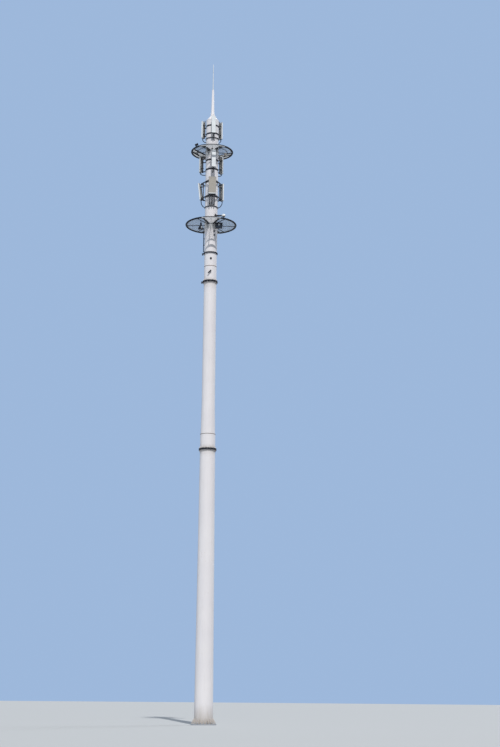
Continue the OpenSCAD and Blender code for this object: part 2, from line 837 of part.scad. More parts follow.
// A collar round the head shaft with an arm to the pipe at each of three angles
module clamp_collar(turn, pipe_r) {
    grip_r = pipe_d / 2 + clamp_grip;
    difference() {
        union() {
            translate([0, 0, -tall_clamp_h / 2]) cylinder(r = head_r + clamp_t, h = tall_clamp_h);
            for (i = [0 : 2]) around(level_angle(turn, i)) {
                translate([-arm_w / 2, -pipe_r, -arm_h / 2]) cube([arm_w, pipe_r - head_r + 20, arm_h]);
                translate([0, -pipe_r, -arm_h / 2]) cylinder(r = grip_r, h = arm_h, $fn = 48);
                // An ear of the clamp, half way to the next arm
                rotate([0, 0, third / 2]) translate([-15, -head_r - clamp_t - 32, -tall_clamp_h / 2 + 4])
                    cube([30, 60, tall_clamp_h - 8]);
            }
        }
        translate([0, 0, -tall_clamp_h]) cylinder(r = head_r + seat, h = 2 * tall_clamp_h);
        for (i = [0 : 2]) around(level_angle(turn, i)) translate([0, -pipe_r, -tall_clamp_h])
            cylinder(d = pipe_d + 2 * seat, h = 2 * tall_clamp_h, $fn = 48);
    }
}

module top_clamps() {
    color(dark) for (z = [top_level_z + clamp_from_foot, top_level_z + panel_h - clamp_from_top])
        translate([0, 0, z]) clamp_collar(top_turn, top_pipe_r);
}

module mid_clamps() {
    color(dark) for (z = [mid_level_z + mid_clamp_from_foot, mid_level_z + panel_h - clamp_from_top])
        translate([0, 0, z]) clamp_collar(mid_turn, mid_pipe_r);
}

// A block that grips the pipe and reaches out to the back of the panel, cut to its slope
module bracket(angle, pipe_r, back_r, foot_z, z, tilt) {
    inner = pipe_r - pipe_d / 2 - clamp_grip;
    difference() {
        around(angle) translate([-bracket_w / 2, -back_r - 160, z - bracket_h / 2])
            cube([bracket_w, back_r + 160 - inner, bracket_h]);
        around(angle) translate([0, -pipe_r, z - bracket_h])
            cylinder(d = pipe_d + 2 * seat, h = 2 * bracket_h, $fn = 48);
        at_panel(angle, back_r, foot_z, tilt)
            translate([-bracket_w, -400 + seat, -panel_h]) cube([2 * bracket_w, 400, 2 * panel_h]);
    }
}

module level_brackets(turn, pipe_r, back_r, foot_z, tilts, from_foot = bracket_in) {
    for (i = [0 : 2])
        for (z = [foot_z + from_foot, foot_z + panel_h - bracket_in])
            bracket(level_angle(turn, i), pipe_r, back_r, foot_z, z, tilts[i]);
}

module top_brackets() {
    color(dark) level_brackets(top_turn, top_pipe_r, top_back_r, top_level_z, [0, 0, 0]);
}

module mid_brackets() {
    color(dark) level_brackets(mid_turn, mid_pipe_r, mid_back_r, mid_level_z, [0, 0, 0]);
}

module low_brackets() {
    color(dark) level_brackets(low_turn, low_pipe_r, low_back_r, low_level_z, low_tilts,
        low_bracket_from_foot);
}

module top_antennas() {
    color(radome_white) for (i = [0 : 2])
        at_panel(level_angle(top_turn, i), top_back_r, top_level_z, 0) panel(panel_w, panel_d, 1);
}

module mid_antennas() {
    color(radome_white) for (i = [0 : 2])
        at_panel(level_angle(mid_turn, i), mid_back_r, mid_level_z, 0) panel(panel_w, panel_d, 1);
}

module low_side_antennas() {
    color(radome_white) for (i = [1, 2])
        at_panel(level_angle(low_turn, i), low_back_r, low_level_z, low_tilts[i]) panel(panel_w, panel_d, 1);
}

module low_front_antenna() {
    color(beige) at_panel(low_turn, low_back_r, low_level_z, 0) panel(wide_panel_w, wide_panel_d, 3);
}

// The hexagonal frame of the low level: long sides pass close to the shaft, and short
// sides hold the pipes. Its corners come from the distances of both kinds of side.
function frame_corner(side_r, corner_r, s) =
    [s * (side_r - corner_r * cos(60)) / sin(60), -corner_r];

module frame_plan(side_r, corner_r) {
    polygon([for (i = [0 : 2]) for (s = [-1, 1])
        let (p = frame_corner(side_r, corner_r, s), a = i * third)
            [p[0] * cos(a) - p[1] * sin(a), p[0] * sin(a) + p[1] * cos(a)]]);
}

module low_frame() {
    lug_w = 70;
    grip_r = pipe_d / 2 + clamp_grip;
    difference() {
        union() {
            linear_extrude(frame_bar, center = true) difference() {
                frame_plan(frame_side_r + frame_bar / 2, frame_corner_r + frame_bar / 2);
                frame_plan(frame_side_r - frame_bar / 2, frame_corner_r - frame_bar / 2);
            }
            translate([0, 0, -clamp_h / 2]) cylinder(r = head_r + clamp_t, h = clamp_h);
            for (i = [0 : 2]) {
                rotate([0, 0, 60 + i * third])
                    translate([-lug_w / 2, -frame_side_r, 3 - frame_bar / 2])
                        cube([lug_w, frame_side_r - head_r + 20, frame_bar - 6]);
                rotate([0, 0, i * third]) translate([0, -low_pipe_r, -frame_bar / 2])
                    cylinder(r = grip_r, h = frame_bar, $fn = 48);
            }
        }
        translate([0, 0, -clamp_h]) cylinder(r = head_r + seat, h = 2 * clamp_h);
        for (i = [0 : 2]) rotate([0, 0, i * third])
            translate([0, -low_pipe_r, -clamp_h]) cylinder(d = pipe_d + 2 * seat, h = 2 * clamp_h, $fn = 48);
    }
}

module low_frames() {
    color(dark) for (z = [low_level_z + frame_from_foot, low_level_z + panel_h - frame_from_top])
        translate([0, 0, z]) around(low_turn) low_frame();
}

// Cable runs from a panel's connector to the gland below it: [angle, sideways, foot height,
// radius of the connector, tilt, drop]. The route is given in shares of the run in and the drop.
jumper_runs = [
    for (i = [0 : 2]) [level_angle(top_turn, i), 0, top_level_z, top_back_r + panel_d / 2, 0, top_drop],
    for (i = [0 : 2]) [level_angle(mid_turn, i), 0, mid_level_z, mid_back_r + panel_d / 2, 0, mid_drop],
    for (s = [-1 : 1]) [level_angle(low_turn, 0), s * connector_step(wide_panel_w), low_level_z,
        low_back_r + wide_panel_d / 2, 0, low_drop],
    [level_angle(low_turn, 1), 0, low_level_z, low_back_r + panel_d / 2, 0, low_drop],
    [level_angle(low_turn, 2), 0, low_level_z, low_back_r + panel_d / 2, low_left_tilt, low_drop]
];
route = [[0, 0], [0, 0.2], [0.1, 0.46], [0.34, 0.74], [0.66, 0.94], [0.88, 1], [1, 1]];
jumper_sides = 8;

function tangent(pts, i) =
    unit(pts[min(i + 1, len(pts) - 1)] - pts[max(i - 1, 0)]);

// A tube swept along points in the plane x = 0, one ring of corners at each point
module swept_tube(pts, d) {
    n = jumper_sides;
    last = len(pts) - 1;
    corners = [for (i = [0 : last]) for (k = [0 : n - 1])
        let (t = tangent(pts, i), a = 360 * k / n)
            pts[i] + d / 2 * (cos(a) * [1, 0, 0] + sin(a) * cross(t, [1, 0, 0]))];
    sides = [for (i = [0 : last - 1]) for (k = [0 : n - 1])
        [i * n + k, i * n + (k + 1) % n, (i + 1) * n + (k + 1) % n, (i + 1) * n + k]];
    ends = [[for (k = [n - 1 : -1 : 0]) k], [for (k = [0 : n - 1]) last * n + k]];
    polyhedron(points = corners, faces = concat(sides, ends));
}

module jumper_cables() {
    color(black) for (run = jumper_runs) around(run[0]) {
        tilt = run[4];
        half = panel_h / 2 + connector_h;
        deep = run[3] - low_back_r;
        start = [run[1], -run[3] + half * sin(tilt) + deep * (1 - cos(tilt)),
            run[2] + panel_h / 2 - half * cos(tilt) - deep * sin(tilt) - seat];
        goal = [run[1], -(head_r + gland_out + seat), run[2] - run[5] - connector_h];
        way = goal - start;
        // The second point lies straight on from the connector, also where the panel tilts
        points = [for (i = [0 : len(route) - 1]) start + [0,
            i == 1 ? -way[2] * route[1][1] * tan(tilt) : way[1] * route[i][0],
            way[2] * route[i][1]]];
        swept_tube(points, jumper_d);
    }
}

// Fittings on the discs and the shaft
module floodlights() {
    hang = lower_disc_z + spoke_z - spoke_d / 2 - seat;
    color(dark) {
        // Right: a wide housing with cooling fins on its back, in a yoke under the front spoke
        translate([0, 0, hang]) around(spoke_angles[0]) translate([0, -flood_out, 0])
            rotate([0, 0, -spoke_angles[0]]) {
                strap_h = flood_drop + flood_h * 0.6 - 20;
                translate([-25, -25, -20]) cube([50, 50, 20]);
                translate([-flood_w / 2 - 12, -20, -26]) cube([flood_w + 24, 40, 8]);
                for (s = [-1, 1])
                    translate([s * (flood_w / 2 + 6) - 6, -20, -20 - strap_h]) cube([12, 40, strap_h]);
                translate([-flood_w / 2, -flood_deep / 2, -flood_drop - flood_h]) difference() {
                    cube([flood_w, flood_deep, flood_h]);
                    translate([20, -1, 20]) cube([flood_w - 40, 13, flood_h - 40]);
                    for (i = [0 : 8]) translate([24 + i * (flood_w - 60) / 8, flood_deep - 35, -1])
                        cube([12, 40, flood_h + 2]);
                }
            }
        // Left: a flared hood on a stem under the front spoke
        translate([0, 0, hang]) around(-spoke_angles[0]) translate([0, -hood_out, 0])
            rotate([0, 0, spoke_angles[0]]) {
                translate([-20, -20, -150]) cube([40, 40, 150]);
                translate([0, 70, -150]) rotate([90, 0, 0]) linear_extrude(140)
                    polygon([[-50, 0], [50, 0], [62, -170], [165, -350], [165, -385],
                        [-165, -385], [-165, -350], [-62, -170]]);
            }
    }
}

module camera_arm() {
    color(dark) difference() {
        union() {
            rod_between([0, -camera_y, camera_z], [camera_arm_x, -camera_y, camera_z], camera_arm_d);
            translate([head_r * 0.6, -camera_y - 60, camera_z - 90]) cube([head_r * 0.16, 120, 180]);
        }
        translate([0, 0, camera_z - 200]) cylinder(r = head_r + seat, h = 400);
    }
}

// A ball with a short neck, on the end of the arm
module dome_camera() {
    neck = 22;
    color(white) translate([camera_arm_x + seat, -camera_y, camera_z]) {
        rotate([0, 90, 0]) cylinder(d = dome_d * 0.5, h = neck + weld, $fn = 48);
        translate([neck + dome_d * 0.4, 0, 0]) difference() {
            sphere(d = dome_d, $fn = 48);
            translate([-1.4 * dome_d, -dome_d, -dome_d]) cube([dome_d, 2 * dome_d, 2 * dome_d]);
        }
    }
}

// A round lamp on a short post, turned to the right and tipped up
module rim_lamp() {
    angle = 309;
    foot = rim_d / 2 + seat;
    tip = 25;
    color(dark) translate([0, 0, upper_disc_z]) around(angle) translate([0, -upper_disc_r, 0]) {
        translate([-30, -30, foot]) cube([60, 60, 130 - foot]);
        rotate([0, 0, -angle]) translate([0, 0, 160]) rotate([0, 90 - tip, 0]) {
            translate([0, 0, -85]) cylinder(d = 120, h = 150, $fn = 48);
            translate([0, 0, 64]) cylinder(d = 150, h = 36, $fn = 48);
        }
    }
}

module junction_box() {
    color(beige) translate([0, 0, upper_disc_z + spoke_z - spoke_d / 2 - seat]) around(spoke_angles[1])
        translate([-90, -junction_out, -110]) cube([180, 130, 110]);
}

base_flange();
lower_shaft();
access_hatch();
lower_joint_flanges();
middle_shaft();
upper_joint_flanges();
port_section();
seam_bands();
head_collar();
head_shaft();
cable_ports();
cable_rings();
side_conduit();
jumper_cables();
cap_cone();
spire_tube();
spire_rod();
lower_disc_collar();
lower_disc_left_frame();
lower_disc_right_frame();
lower_disc_mesh();
lower_disc_bridges();
upper_disc_collar();
upper_disc_left_frame();
upper_disc_right_frame();
upper_disc_mesh();
upper_disc_bridges();
upper_disc_kick_plate();
antenna_pipes();
top_clamps();
top_brackets();
top_antennas();
mid_clamps();
mid_brackets();
mid_antennas();
low_frames();
low_brackets();
low_side_antennas();
low_front_antenna();
floodlights();
camera_arm();
dome_camera();
rim_lamp();
junction_box();
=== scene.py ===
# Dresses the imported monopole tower: camera, light, paint and steel finishes,
# and the bolts, mesh, welds and cable work that the solids leave out.
import bpy
import bmesh
import math
import random
from mathutils import Matrix, Vector


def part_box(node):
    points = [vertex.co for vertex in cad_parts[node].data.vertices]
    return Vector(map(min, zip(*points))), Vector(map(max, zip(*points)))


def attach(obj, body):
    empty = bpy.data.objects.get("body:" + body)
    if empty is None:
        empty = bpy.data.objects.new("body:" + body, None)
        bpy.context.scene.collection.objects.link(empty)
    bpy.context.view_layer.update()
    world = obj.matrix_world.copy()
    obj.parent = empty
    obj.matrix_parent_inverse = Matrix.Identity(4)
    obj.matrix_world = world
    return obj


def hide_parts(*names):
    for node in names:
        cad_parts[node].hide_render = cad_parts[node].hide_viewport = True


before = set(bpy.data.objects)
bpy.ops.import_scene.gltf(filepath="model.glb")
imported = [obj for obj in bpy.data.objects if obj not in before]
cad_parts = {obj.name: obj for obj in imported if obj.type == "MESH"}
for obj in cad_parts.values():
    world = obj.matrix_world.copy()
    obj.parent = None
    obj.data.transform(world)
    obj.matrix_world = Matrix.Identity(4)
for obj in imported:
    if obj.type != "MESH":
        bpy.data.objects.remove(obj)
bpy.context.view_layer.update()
print("tower: frame loaded")


# Places in metres, and turns in degrees
def at(x, y, z):
    return Matrix.Translation((x, y, z))


def turned(angle, axis):
    return Matrix.Rotation(math.radians(angle), 4, axis)


def spin(angle):
    # Turns a piece that is drawn at the front to an angle round the shaft
    return turned(angle, "Z")


def linkObject(name, data):
    thing = bpy.data.objects.new(name, data)
    bpy.context.scene.collection.objects.link(thing)
    return thing


# Helpers for shader nodes
def feed(tree, node, values):
    # Gives the inputs of a node numbers, vectors, colours or the outputs of other nodes
    for label, value in values.items():
        socket = node.inputs[label]
        if isinstance(value, bpy.types.NodeSocket):
            tree.links.new(value, socket)
        else:
            socket.default_value = (*value, 1) if socket.type == "RGBA" else value


def addNode(tree, kind, values, **settings):
    node = tree.nodes.new("ShaderNode" + kind)
    for label, value in settings.items():
        setattr(node, label, value)
    feed(tree, node, values)
    return node.outputs


def addMath(tree, operation, *values):
    return addNode(tree, "Math", dict(enumerate(values)), operation=operation)[0]


def times(tree, a, b):
    return addMath(tree, "MULTIPLY", a, b)


def addRange(tree, value, low, high, outLow=0.0, outHigh=1.0):
    given = {"Value": value, "From Min": low, "From Max": high, "To Min": outLow, "To Max": outHigh}
    return addNode(tree, "MapRange", given)[0]


def addMix(tree, mask, a, b):
    # The numbers are those of this node's mask and colour sockets
    return addNode(tree, "Mix", {0: mask, 6: a, 7: b}, data_type="RGBA")[2]


def addNoise(tree, place, scale, detail=4.0, rough=0.55):
    given = {"Vector": place, "Scale": scale, "Detail": detail, "Roughness": rough}
    return addNode(tree, "TexNoise", given)["Fac"]


def addPlace(tree, flatten=1):
    # Object coordinates, with the height made shorter to draw a pattern out along the shaft
    place = addNode(tree, "TexCoord", {})["Object"]
    if flatten == 1:
        return place
    return addNode(tree, "VectorMath", {0: place, 1: (1, 1, flatten)}, operation="MULTIPLY")[0]


def addBump(tree, skin, height, strength, distance):
    bump = addNode(tree, "Bump", {"Strength": strength, "Distance": distance, "Height": height})
    feed(tree, skin, {"Normal": bump["Normal"]})


def startMaterial(name, rough=0.5, metal=0.0):
    paint = bpy.data.materials.new(name)
    paint.use_nodes = True
    skin = paint.node_tree.nodes["Principled BSDF"]
    feed(paint.node_tree, skin, {"Roughness": rough, "Metallic": metal})
    return paint, paint.node_tree, skin


# Camera, light and floor
view = {
    "distance": 79.4, "eyeHeight": 1.6, "lens": 66.75, "sensor": 36, "clipEnd": 600,
    "pitch": 13.1, "yaw": 1.751, "roll": 0.48,
}


def buildCamera():
    cam = bpy.data.cameras.new("towerCamera")
    cam.lens = view["lens"]
    cam.sensor_width = view["sensor"]
    cam.clip_end = view["clipEnd"]
    eye = linkObject("towerCamera", cam)
    pitch, yaw = math.radians(view["pitch"]), math.radians(view["yaw"])
    ahead = Vector((math.sin(yaw) * math.cos(pitch), math.cos(yaw) * math.cos(pitch), math.sin(pitch)))
    right = Vector((math.cos(yaw), -math.sin(yaw), 0))
    level = Matrix((right, right.cross(ahead), -ahead)).transposed().to_4x4()
    eye.matrix_world = at(0, -view["distance"], view["eyeHeight"]) @ level @ turned(view["roll"], "Z")
    bpy.context.scene.camera = eye


# A sun's turn is counted from the front, towards the right of the photo
suns = {
    "keySun": {"turn": 7.0, "height": 51.5, "strength": 2.80, "softness": 0.53,
               "color": (1.0, 0.975, 0.93)},
    "backFill": {"turn": 138.0, "height": 38.0, "strength": 1.15, "softness": 24.0,
                 "color": (0.90, 0.95, 1.0)},
    "leftFill": {"turn": -80.0, "height": 12.0, "strength": 0.38, "softness": 40.0,
                 "color": (0.80, 0.90, 1.0)},
}


def buildSun(name):
    sun = bpy.data.lights.new(name, "SUN")
    sun.energy = suns[name]["strength"]
    sun.angle = math.radians(suns[name]["softness"])
    sun.color = suns[name]["color"]
    turn, height = math.radians(suns[name]["turn"]), math.radians(suns[name]["height"])
    flat = math.cos(height)
    towards = Vector((math.sin(turn) * flat, -math.cos(turn) * flat, math.sin(height)))
    linkObject(name, sun).rotation_euler = towards.to_track_quat("Z", "Y").to_euler()


sky = {
    "fillColor": (0.84, 0.92, 1.0), "fillStrength": 0.20,
    "backdrop": (0.34, 0.48, 0.71), "backdropStrength": 1.0,
}


def buildSky():
    # A weak fill light, and a pale backdrop that camera, glossy and transmission rays see
    world = bpy.data.worlds.new("paleSky")
    world.use_nodes = True
    bpy.context.scene.world = world
    tree = world.node_tree
    tree.nodes.clear()
    rays = addNode(tree, "LightPath", {})
    seen = addMath(tree, "MAXIMUM", rays["Is Camera Ray"], rays["Is Glossy Ray"])
    seen = addMath(tree, "MAXIMUM", seen, rays["Is Transmission Ray"])
    fill = addNode(tree, "Background", {"Color": sky["fillColor"], "Strength": sky["fillStrength"]})
    back = addNode(tree, "Background", {"Color": sky["backdrop"], "Strength": sky["backdropStrength"]})
    mix = addNode(tree, "MixShader", {"Fac": seen, 1: fill[0], 2: back[0]})
    addNode(tree, "OutputWorld", {"Surface": mix[0]})


ground = {"color": (0.50, 0.515, 0.53), "rough": 0.9, "radius": 260, "sides": 96, "drop": 0.004}


def buildFloor():
    bm = bmesh.new()
    bmesh.ops.create_circle(bm, cap_ends=True, segments=ground["sides"], radius=ground["radius"])
    mesh = bpy.data.meshes.new("paleFloor")
    bm.to_mesh(mesh)
    bm.free()
    floor = linkObject("paleFloor", mesh)
    floor.location.z = -ground["drop"]
    paint, tree, skin = startMaterial("paleFloor", ground["rough"])
    feed(tree, skin, {"Base Color": ground["color"]})
    mesh.materials.append(paint)


buildCamera()
for name in suns:
    buildSun(name)
buildSky()
buildFloor()
bpy.context.scene.view_settings.view_transform = "Standard"
print("tower: camera, light and floor set")


# Effects that several materials share
def startGroup(name, inputs, outputs):
    # Inputs are numbers with their labels, and the output called Color is a colour
    group = bpy.data.node_groups.new(name, "ShaderNodeTree")
    for label, value in inputs.items():
        socket = group.interface.new_socket(name=label, in_out="INPUT", socket_type="NodeSocketFloat")
        socket.default_value = value
    for label in outputs:
        kind = "NodeSocketColor" if label == "Color" else "NodeSocketFloat"
        group.interface.new_socket(name=label, in_out="OUTPUT", socket_type=kind)
    return group, group.nodes.new("NodeGroupInput").outputs, group.nodes.new("NodeGroupOutput")


def buildRainStreaks():
    # Long streaks that run down a wall, broken up along their length
    group, given, out = startGroup("rainStreaks", {"Scale": 9.0, "Amount": 0.5}, ("Mask", "Tone"))
    runs = addNoise(group, addPlace(group, flatten=0.045), given["Scale"], detail=5.0, rough=0.6)
    patches = addNoise(group, addPlace(group), scale=0.9, detail=3.0, rough=0.5)
    streak = addRange(group, runs, low=0.50, high=0.74)
    held = times(group, streak, addRange(group, patches, low=0.35, high=0.65))
    tone = addRange(group, patches, low=0.2, high=0.8)
    feed(group, out, {"Mask": times(group, held, given["Amount"]), "Tone": tone})
    return group


def buildDirtBand():
    # Dirt that gathers at one height and fades over a distance, with a ragged edge
    group, given, out = startGroup("dirtBand", {"Height": 0.0, "Reach": 1.0, "Amount": 0.5}, ("Mask",))
    height = addNode(group, "SeparateXYZ", {0: addPlace(group)})["Z"]
    ragged = addNoise(group, addPlace(group, flatten=0.2), scale=7.0, detail=5.0, rough=0.65)
    away = addMath(group, "ABSOLUTE", addMath(group, "SUBTRACT", height, given["Height"]))
    near = addMath(group, "DIVIDE", away, given["Reach"])
    fade = addMath(group, "SUBTRACT", 1.15, addMath(group, "ADD", near, times(group, ragged, 0.55)))
    feed(group, out, {"Mask": times(group, addRange(group, fade, low=0.0, high=0.8), given["Amount"])})
    return group


def buildPaintGrain():
    # Fine orange peel of sprayed paint, with a broad waviness of the plate below it
    inputs = {"Grain Scale": 220.0, "Wave Scale": 2.0}
    group, given, out = startGroup("paintGrain", inputs, ("Height", "Tone"))
    grain = addNoise(group, addPlace(group), given["Grain Scale"], detail=3.0, rough=0.5)
    wave = addNoise(group, addPlace(group), given["Wave Scale"], detail=2.0, rough=0.4)
    height = addMath(group, "ADD", times(group, grain, 0.25), wave)
    feed(group, out, {"Height": height, "Tone": addRange(group, wave, low=0.3, high=0.7)})
    return group


def buildEdgeWear():
    # Rubbed edges: where the rounded normal leaves the flat one, broken up by noise
    group, given, out = startGroup("edgeWear", {"Width": 0.006, "Amount": 0.6}, ("Mask",))
    soft = addNode(group, "Bevel", {"Radius": given["Width"]}, samples=3)["Normal"]
    flat = addNode(group, "NewGeometry", {})["Normal"]
    dot = addNode(group, "VectorMath", {0: soft, 1: flat}, operation="DOT_PRODUCT")["Value"]
    torn = addNoise(group, addPlace(group), scale=34.0, detail=5.0, rough=0.7)
    edge = times(group, addRange(group, dot, low=0.97, high=0.80), addRange(group, torn, low=0.38, high=0.62))
    feed(group, out, {"Mask": times(group, edge, given["Amount"])})
    return group


def buildRustSpecks():
    # Small blooms of rust in patches
    group, given, out = startGroup("rustSpecks", {"Scale": 26.0, "Cover": 0.3}, ("Mask", "Color"))
    specks = addNoise(group, addPlace(group), given["Scale"], detail=6.0, rough=0.7)
    patches = addNoise(group, addPlace(group), scale=1.7, detail=2.0, rough=0.5)
    level = addMath(group, "SUBTRACT", 0.80, times(group, given["Cover"], 0.35))
    near = addMath(group, "ADD", specks, times(group, patches, 0.25))
    mask = addRange(group, near, level, addMath(group, "ADD", level, 0.10))
    feed(group, out, {"Mask": mask, "Color": addMix(group, specks, (0.10, 0.035, 0.015), (0.32, 0.13, 0.05))})
    return group


def buildZincSpangle():
    # The flaky pattern of hot-dip zinc
    group, given, out = startGroup("zincSpangle", {"Scale": 60.0}, ("Tone", "Height"))
    cells = addNode(group, "TexVoronoi", {"Vector": addPlace(group), "Scale": given["Scale"]})
    flakes = addNode(group, "RGBToBW", {0: cells["Color"]})[0]
    cloud = addNoise(group, addPlace(group), scale=5.0, detail=4.0, rough=0.6)
    tone = addMath(group, "ADD", times(group, flakes, 0.5), times(group, cloud, 0.5))
    feed(group, out, {"Tone": tone, "Height": cells["Distance"]})
    return group


effects = {
    "rainStreaks": buildRainStreaks(), "dirtBand": buildDirtBand(), "paintGrain": buildPaintGrain(),
    "edgeWear": buildEdgeWear(), "rustSpecks": buildRustSpecks(), "zincSpangle": buildZincSpangle(),
}


def useEffect(tree, name, values):
    return addNode(tree, "Group", values, node_tree=effects[name])


def addCover(tree, color, mask, over, share=1.0):
    # Lays a colour over another by a mask, or by a share of the mask
    if share < 1:
        mask = times(tree, mask, share)
    return addMix(tree, mask, color, over)


def tinted(color, factor):
    return tuple(min(1, part * factor) for part in color)


# Families of coats: paints, zinc, plastic, rubber and glass. Each has one colour, or two that its grain
# mixes, and over them some of these: rain streaks, bands of dirt, specks of rust and rubbed edges.
# Roughness runs between the two roughs, by the grain's tone or, where wet is dull, by streaks and dirt.
families = {
    "shaftPaint": {
        "colors": ((0.838, 0.818, 0.850), (0.788, 0.770, 0.812)), "grain": (160.0, 0.7),
        "bump": (0.25, 0.004), "streakScale": 9.0, "streaks": 0.30, "streakColor": (0.545, 0.53, 0.545),
        "wetIsDull": True, "dirtColor": (0.40, 0.36, 0.31), "rustScale": 18.0, "rust": 0.10,
        "rustShare": 0.5, "rustColor": (0.36, 0.22, 0.14), "roughs": (0.44, 0.85),
    },
    "darkPaint": {
        "colors": ((0.0055, 0.0080, 0.0150),), "grain": (260.0, 6.0), "bump": (0.3, 0.002),
        "streakScale": 14.0, "streaks": 0.5, "streakColor": (0.040, 0.044, 0.052), "streakShare": 0.35,
        "rustScale": 30.0, "rust": 0.2, "rustShare": 0.45, "wearWidth": 0.005, "wear": 0.55,
        "bare": (0.11, 0.115, 0.125), "bareMetal": 0.7, "roughs": (0.42, 0.64),
        "skin": {"Specular IOR Level": 0.3},
    },
    "lightPaint": {
        "grain": (220.0, 4.0), "bump": (0.3, 0.003), "streakScale": 12.0, "streaks": 0.55, "streakTone": 0.55,
        "wetIsDull": True, "rustScale": 34.0, "rust": 0.2, "rustShare": 0.4, "wearWidth": 0.004, "wear": 0.4,
        "bare": (0.30, 0.30, 0.31), "roughs": (0.46, 0.8),
    },
    "zinc": {
        "metal": 0.55, "flakes": 55.0, "bump": (0.12, 0.001), "rustScale": 40.0, "rust": 0.28,
        "rustShare": 0.7, "wearWidth": 0.003, "wear": 0.4, "bareTone": 1.4, "tones": (0.2, 0.8),
        "roughs": (0.38, 0.65),
    },
    "radome": {
        "grain": (420.0, 3.0), "bump": (0.18, 0.0015), "streakScale": 20.0, "streaks": 0.6,
        "streakTone": 0.66, "wetIsDull": True, "roughs": (0.42, 0.75),
    },
    "rubber": {
        "colors": ((0.012, 0.012, 0.014),), "grain": (600.0, 9.0), "bump": (0.3, 0.001),
        "streakScale": 26.0, "streaks": 0.6, "streakColor": (0.035, 0.035, 0.038), "roughs": (0.52, 0.72),
        "skin": {"Specular IOR Level": 0.25},
    },
    "smokedGlass": {
        "colors": ((0.010, 0.013, 0.020),), "grain": (90.0, 5.0), "streakScale": 30.0, "streaks": 0.5,
        "streakColor": (0.05, 0.055, 0.065), "roughs": (0.07, 0.22), "skin": {"Coat Weight": 0.6},
    },
}


def addStreaks(tree, coat, mixed, colors):
    # Returns the mask of the streaks, and the colour with the streaks over it
    mask = useEffect(tree, "rainStreaks", {"Scale": coat["streakScale"], "Amount": coat["streaks"]})["Mask"]
    over = tinted(colors[0], coat["streakTone"]) if "streakTone" in coat else coat["streakColor"]
    return mask, addCover(tree, mixed, mask, over, coat.get("streakShare", 1))


def addWear(tree, skin, coat, mixed, colors):
    # Rubbed edges, which are bare metal where the coat says so
    mask = useEffect(tree, "edgeWear", {"Width": coat["wearWidth"], "Amount": coat["wear"]})["Mask"]
    if "bareMetal" in coat:
        feed(tree, skin, {"Metallic": times(tree, mask, coat["bareMetal"])})
    over = tinted(colors[-1], coat["bareTone"]) if "bareTone" in coat else coat["bare"]
    return addCover(tree, mixed, mask, over)


def makeCoat(name, family, tone=1, **changes):
    # A material of one family, with some of its settings changed
    coat = {**families[family], **changes}
    paint, tree, skin = startMaterial(name, metal=coat.get("metal", 0.0))
    if "flakes" in coat:
        grain = useEffect(tree, "zincSpangle", {"Scale": coat["flakes"]})
    else:
        grain = useEffect(tree, "paintGrain", dict(zip(("Grain Scale", "Wave Scale"), coat["grain"])))
    colors = [tinted(color, tone) for color in coat["colors"]]
    mixed = addMix(tree, grain["Tone"], *colors) if len(colors) > 1 else colors[0]
    dull = grain["Tone"]
    if "streaks" in coat:
        wet, mixed = addStreaks(tree, coat, mixed, colors)
        dull = wet if "wetIsDull" in coat else dull
    for height, reach, amount in coat.get("dirt", ()):
        band = useEffect(tree, "dirtBand", {"Height": height, "Reach": reach, "Amount": amount})["Mask"]
        mixed = addCover(tree, mixed, band, coat["dirtColor"])
        dull = addMath(tree, "MAXIMUM", dull, band)
    if "rust" in coat:
        rust = useEffect(tree, "rustSpecks", {"Scale": coat["rustScale"], "Cover": coat["rust"]})
        over = coat.get("rustColor", rust["Color"])
        mixed = addCover(tree, mixed, rust["Mask"], over, coat["rustShare"])
    if "wear" in coat:
        mixed = addWear(tree, skin, coat, mixed, colors)
    low, high = coat.get("tones", (0.0, 1.0))
    rough = addRange(tree, dull, low, high, *coat["roughs"])
    feed(tree, skin, {"Base Color": mixed, "Roughness": rough, **coat.get("skin", {})})
    if "bump" in coat:
        addBump(tree, skin, grain["Height"], *coat["bump"])
    return paint


# The pale lens colours make a painted highlight on the floodlight's glass
ribbedLens = {"scale": 34.0, "pale": (0.62, 0.66, 0.70), "deep": (0.20, 0.23, 0.27)}


def makeLens(name):
    # Ribbed lens, pale as if a bright reflector lay behind it; on the floodlight it is a painted highlight
    paint, tree, skin = startMaterial(name, rough=0.08)
    ribs = addNode(tree, "TexVoronoi", {"Scale": ribbedLens["scale"], "Vector": addPlace(tree)})["Distance"]
    color = addMix(tree, addRange(tree, ribs, low=0.0, high=0.6), ribbedLens["pale"], ribbedLens["deep"])
    feed(tree, skin, {"Base Color": color, "Coat Weight": 1.0, "Coat Roughness": 0.03})
    addBump(tree, skin, ribs, strength=0.4, distance=0.004)
    return paint


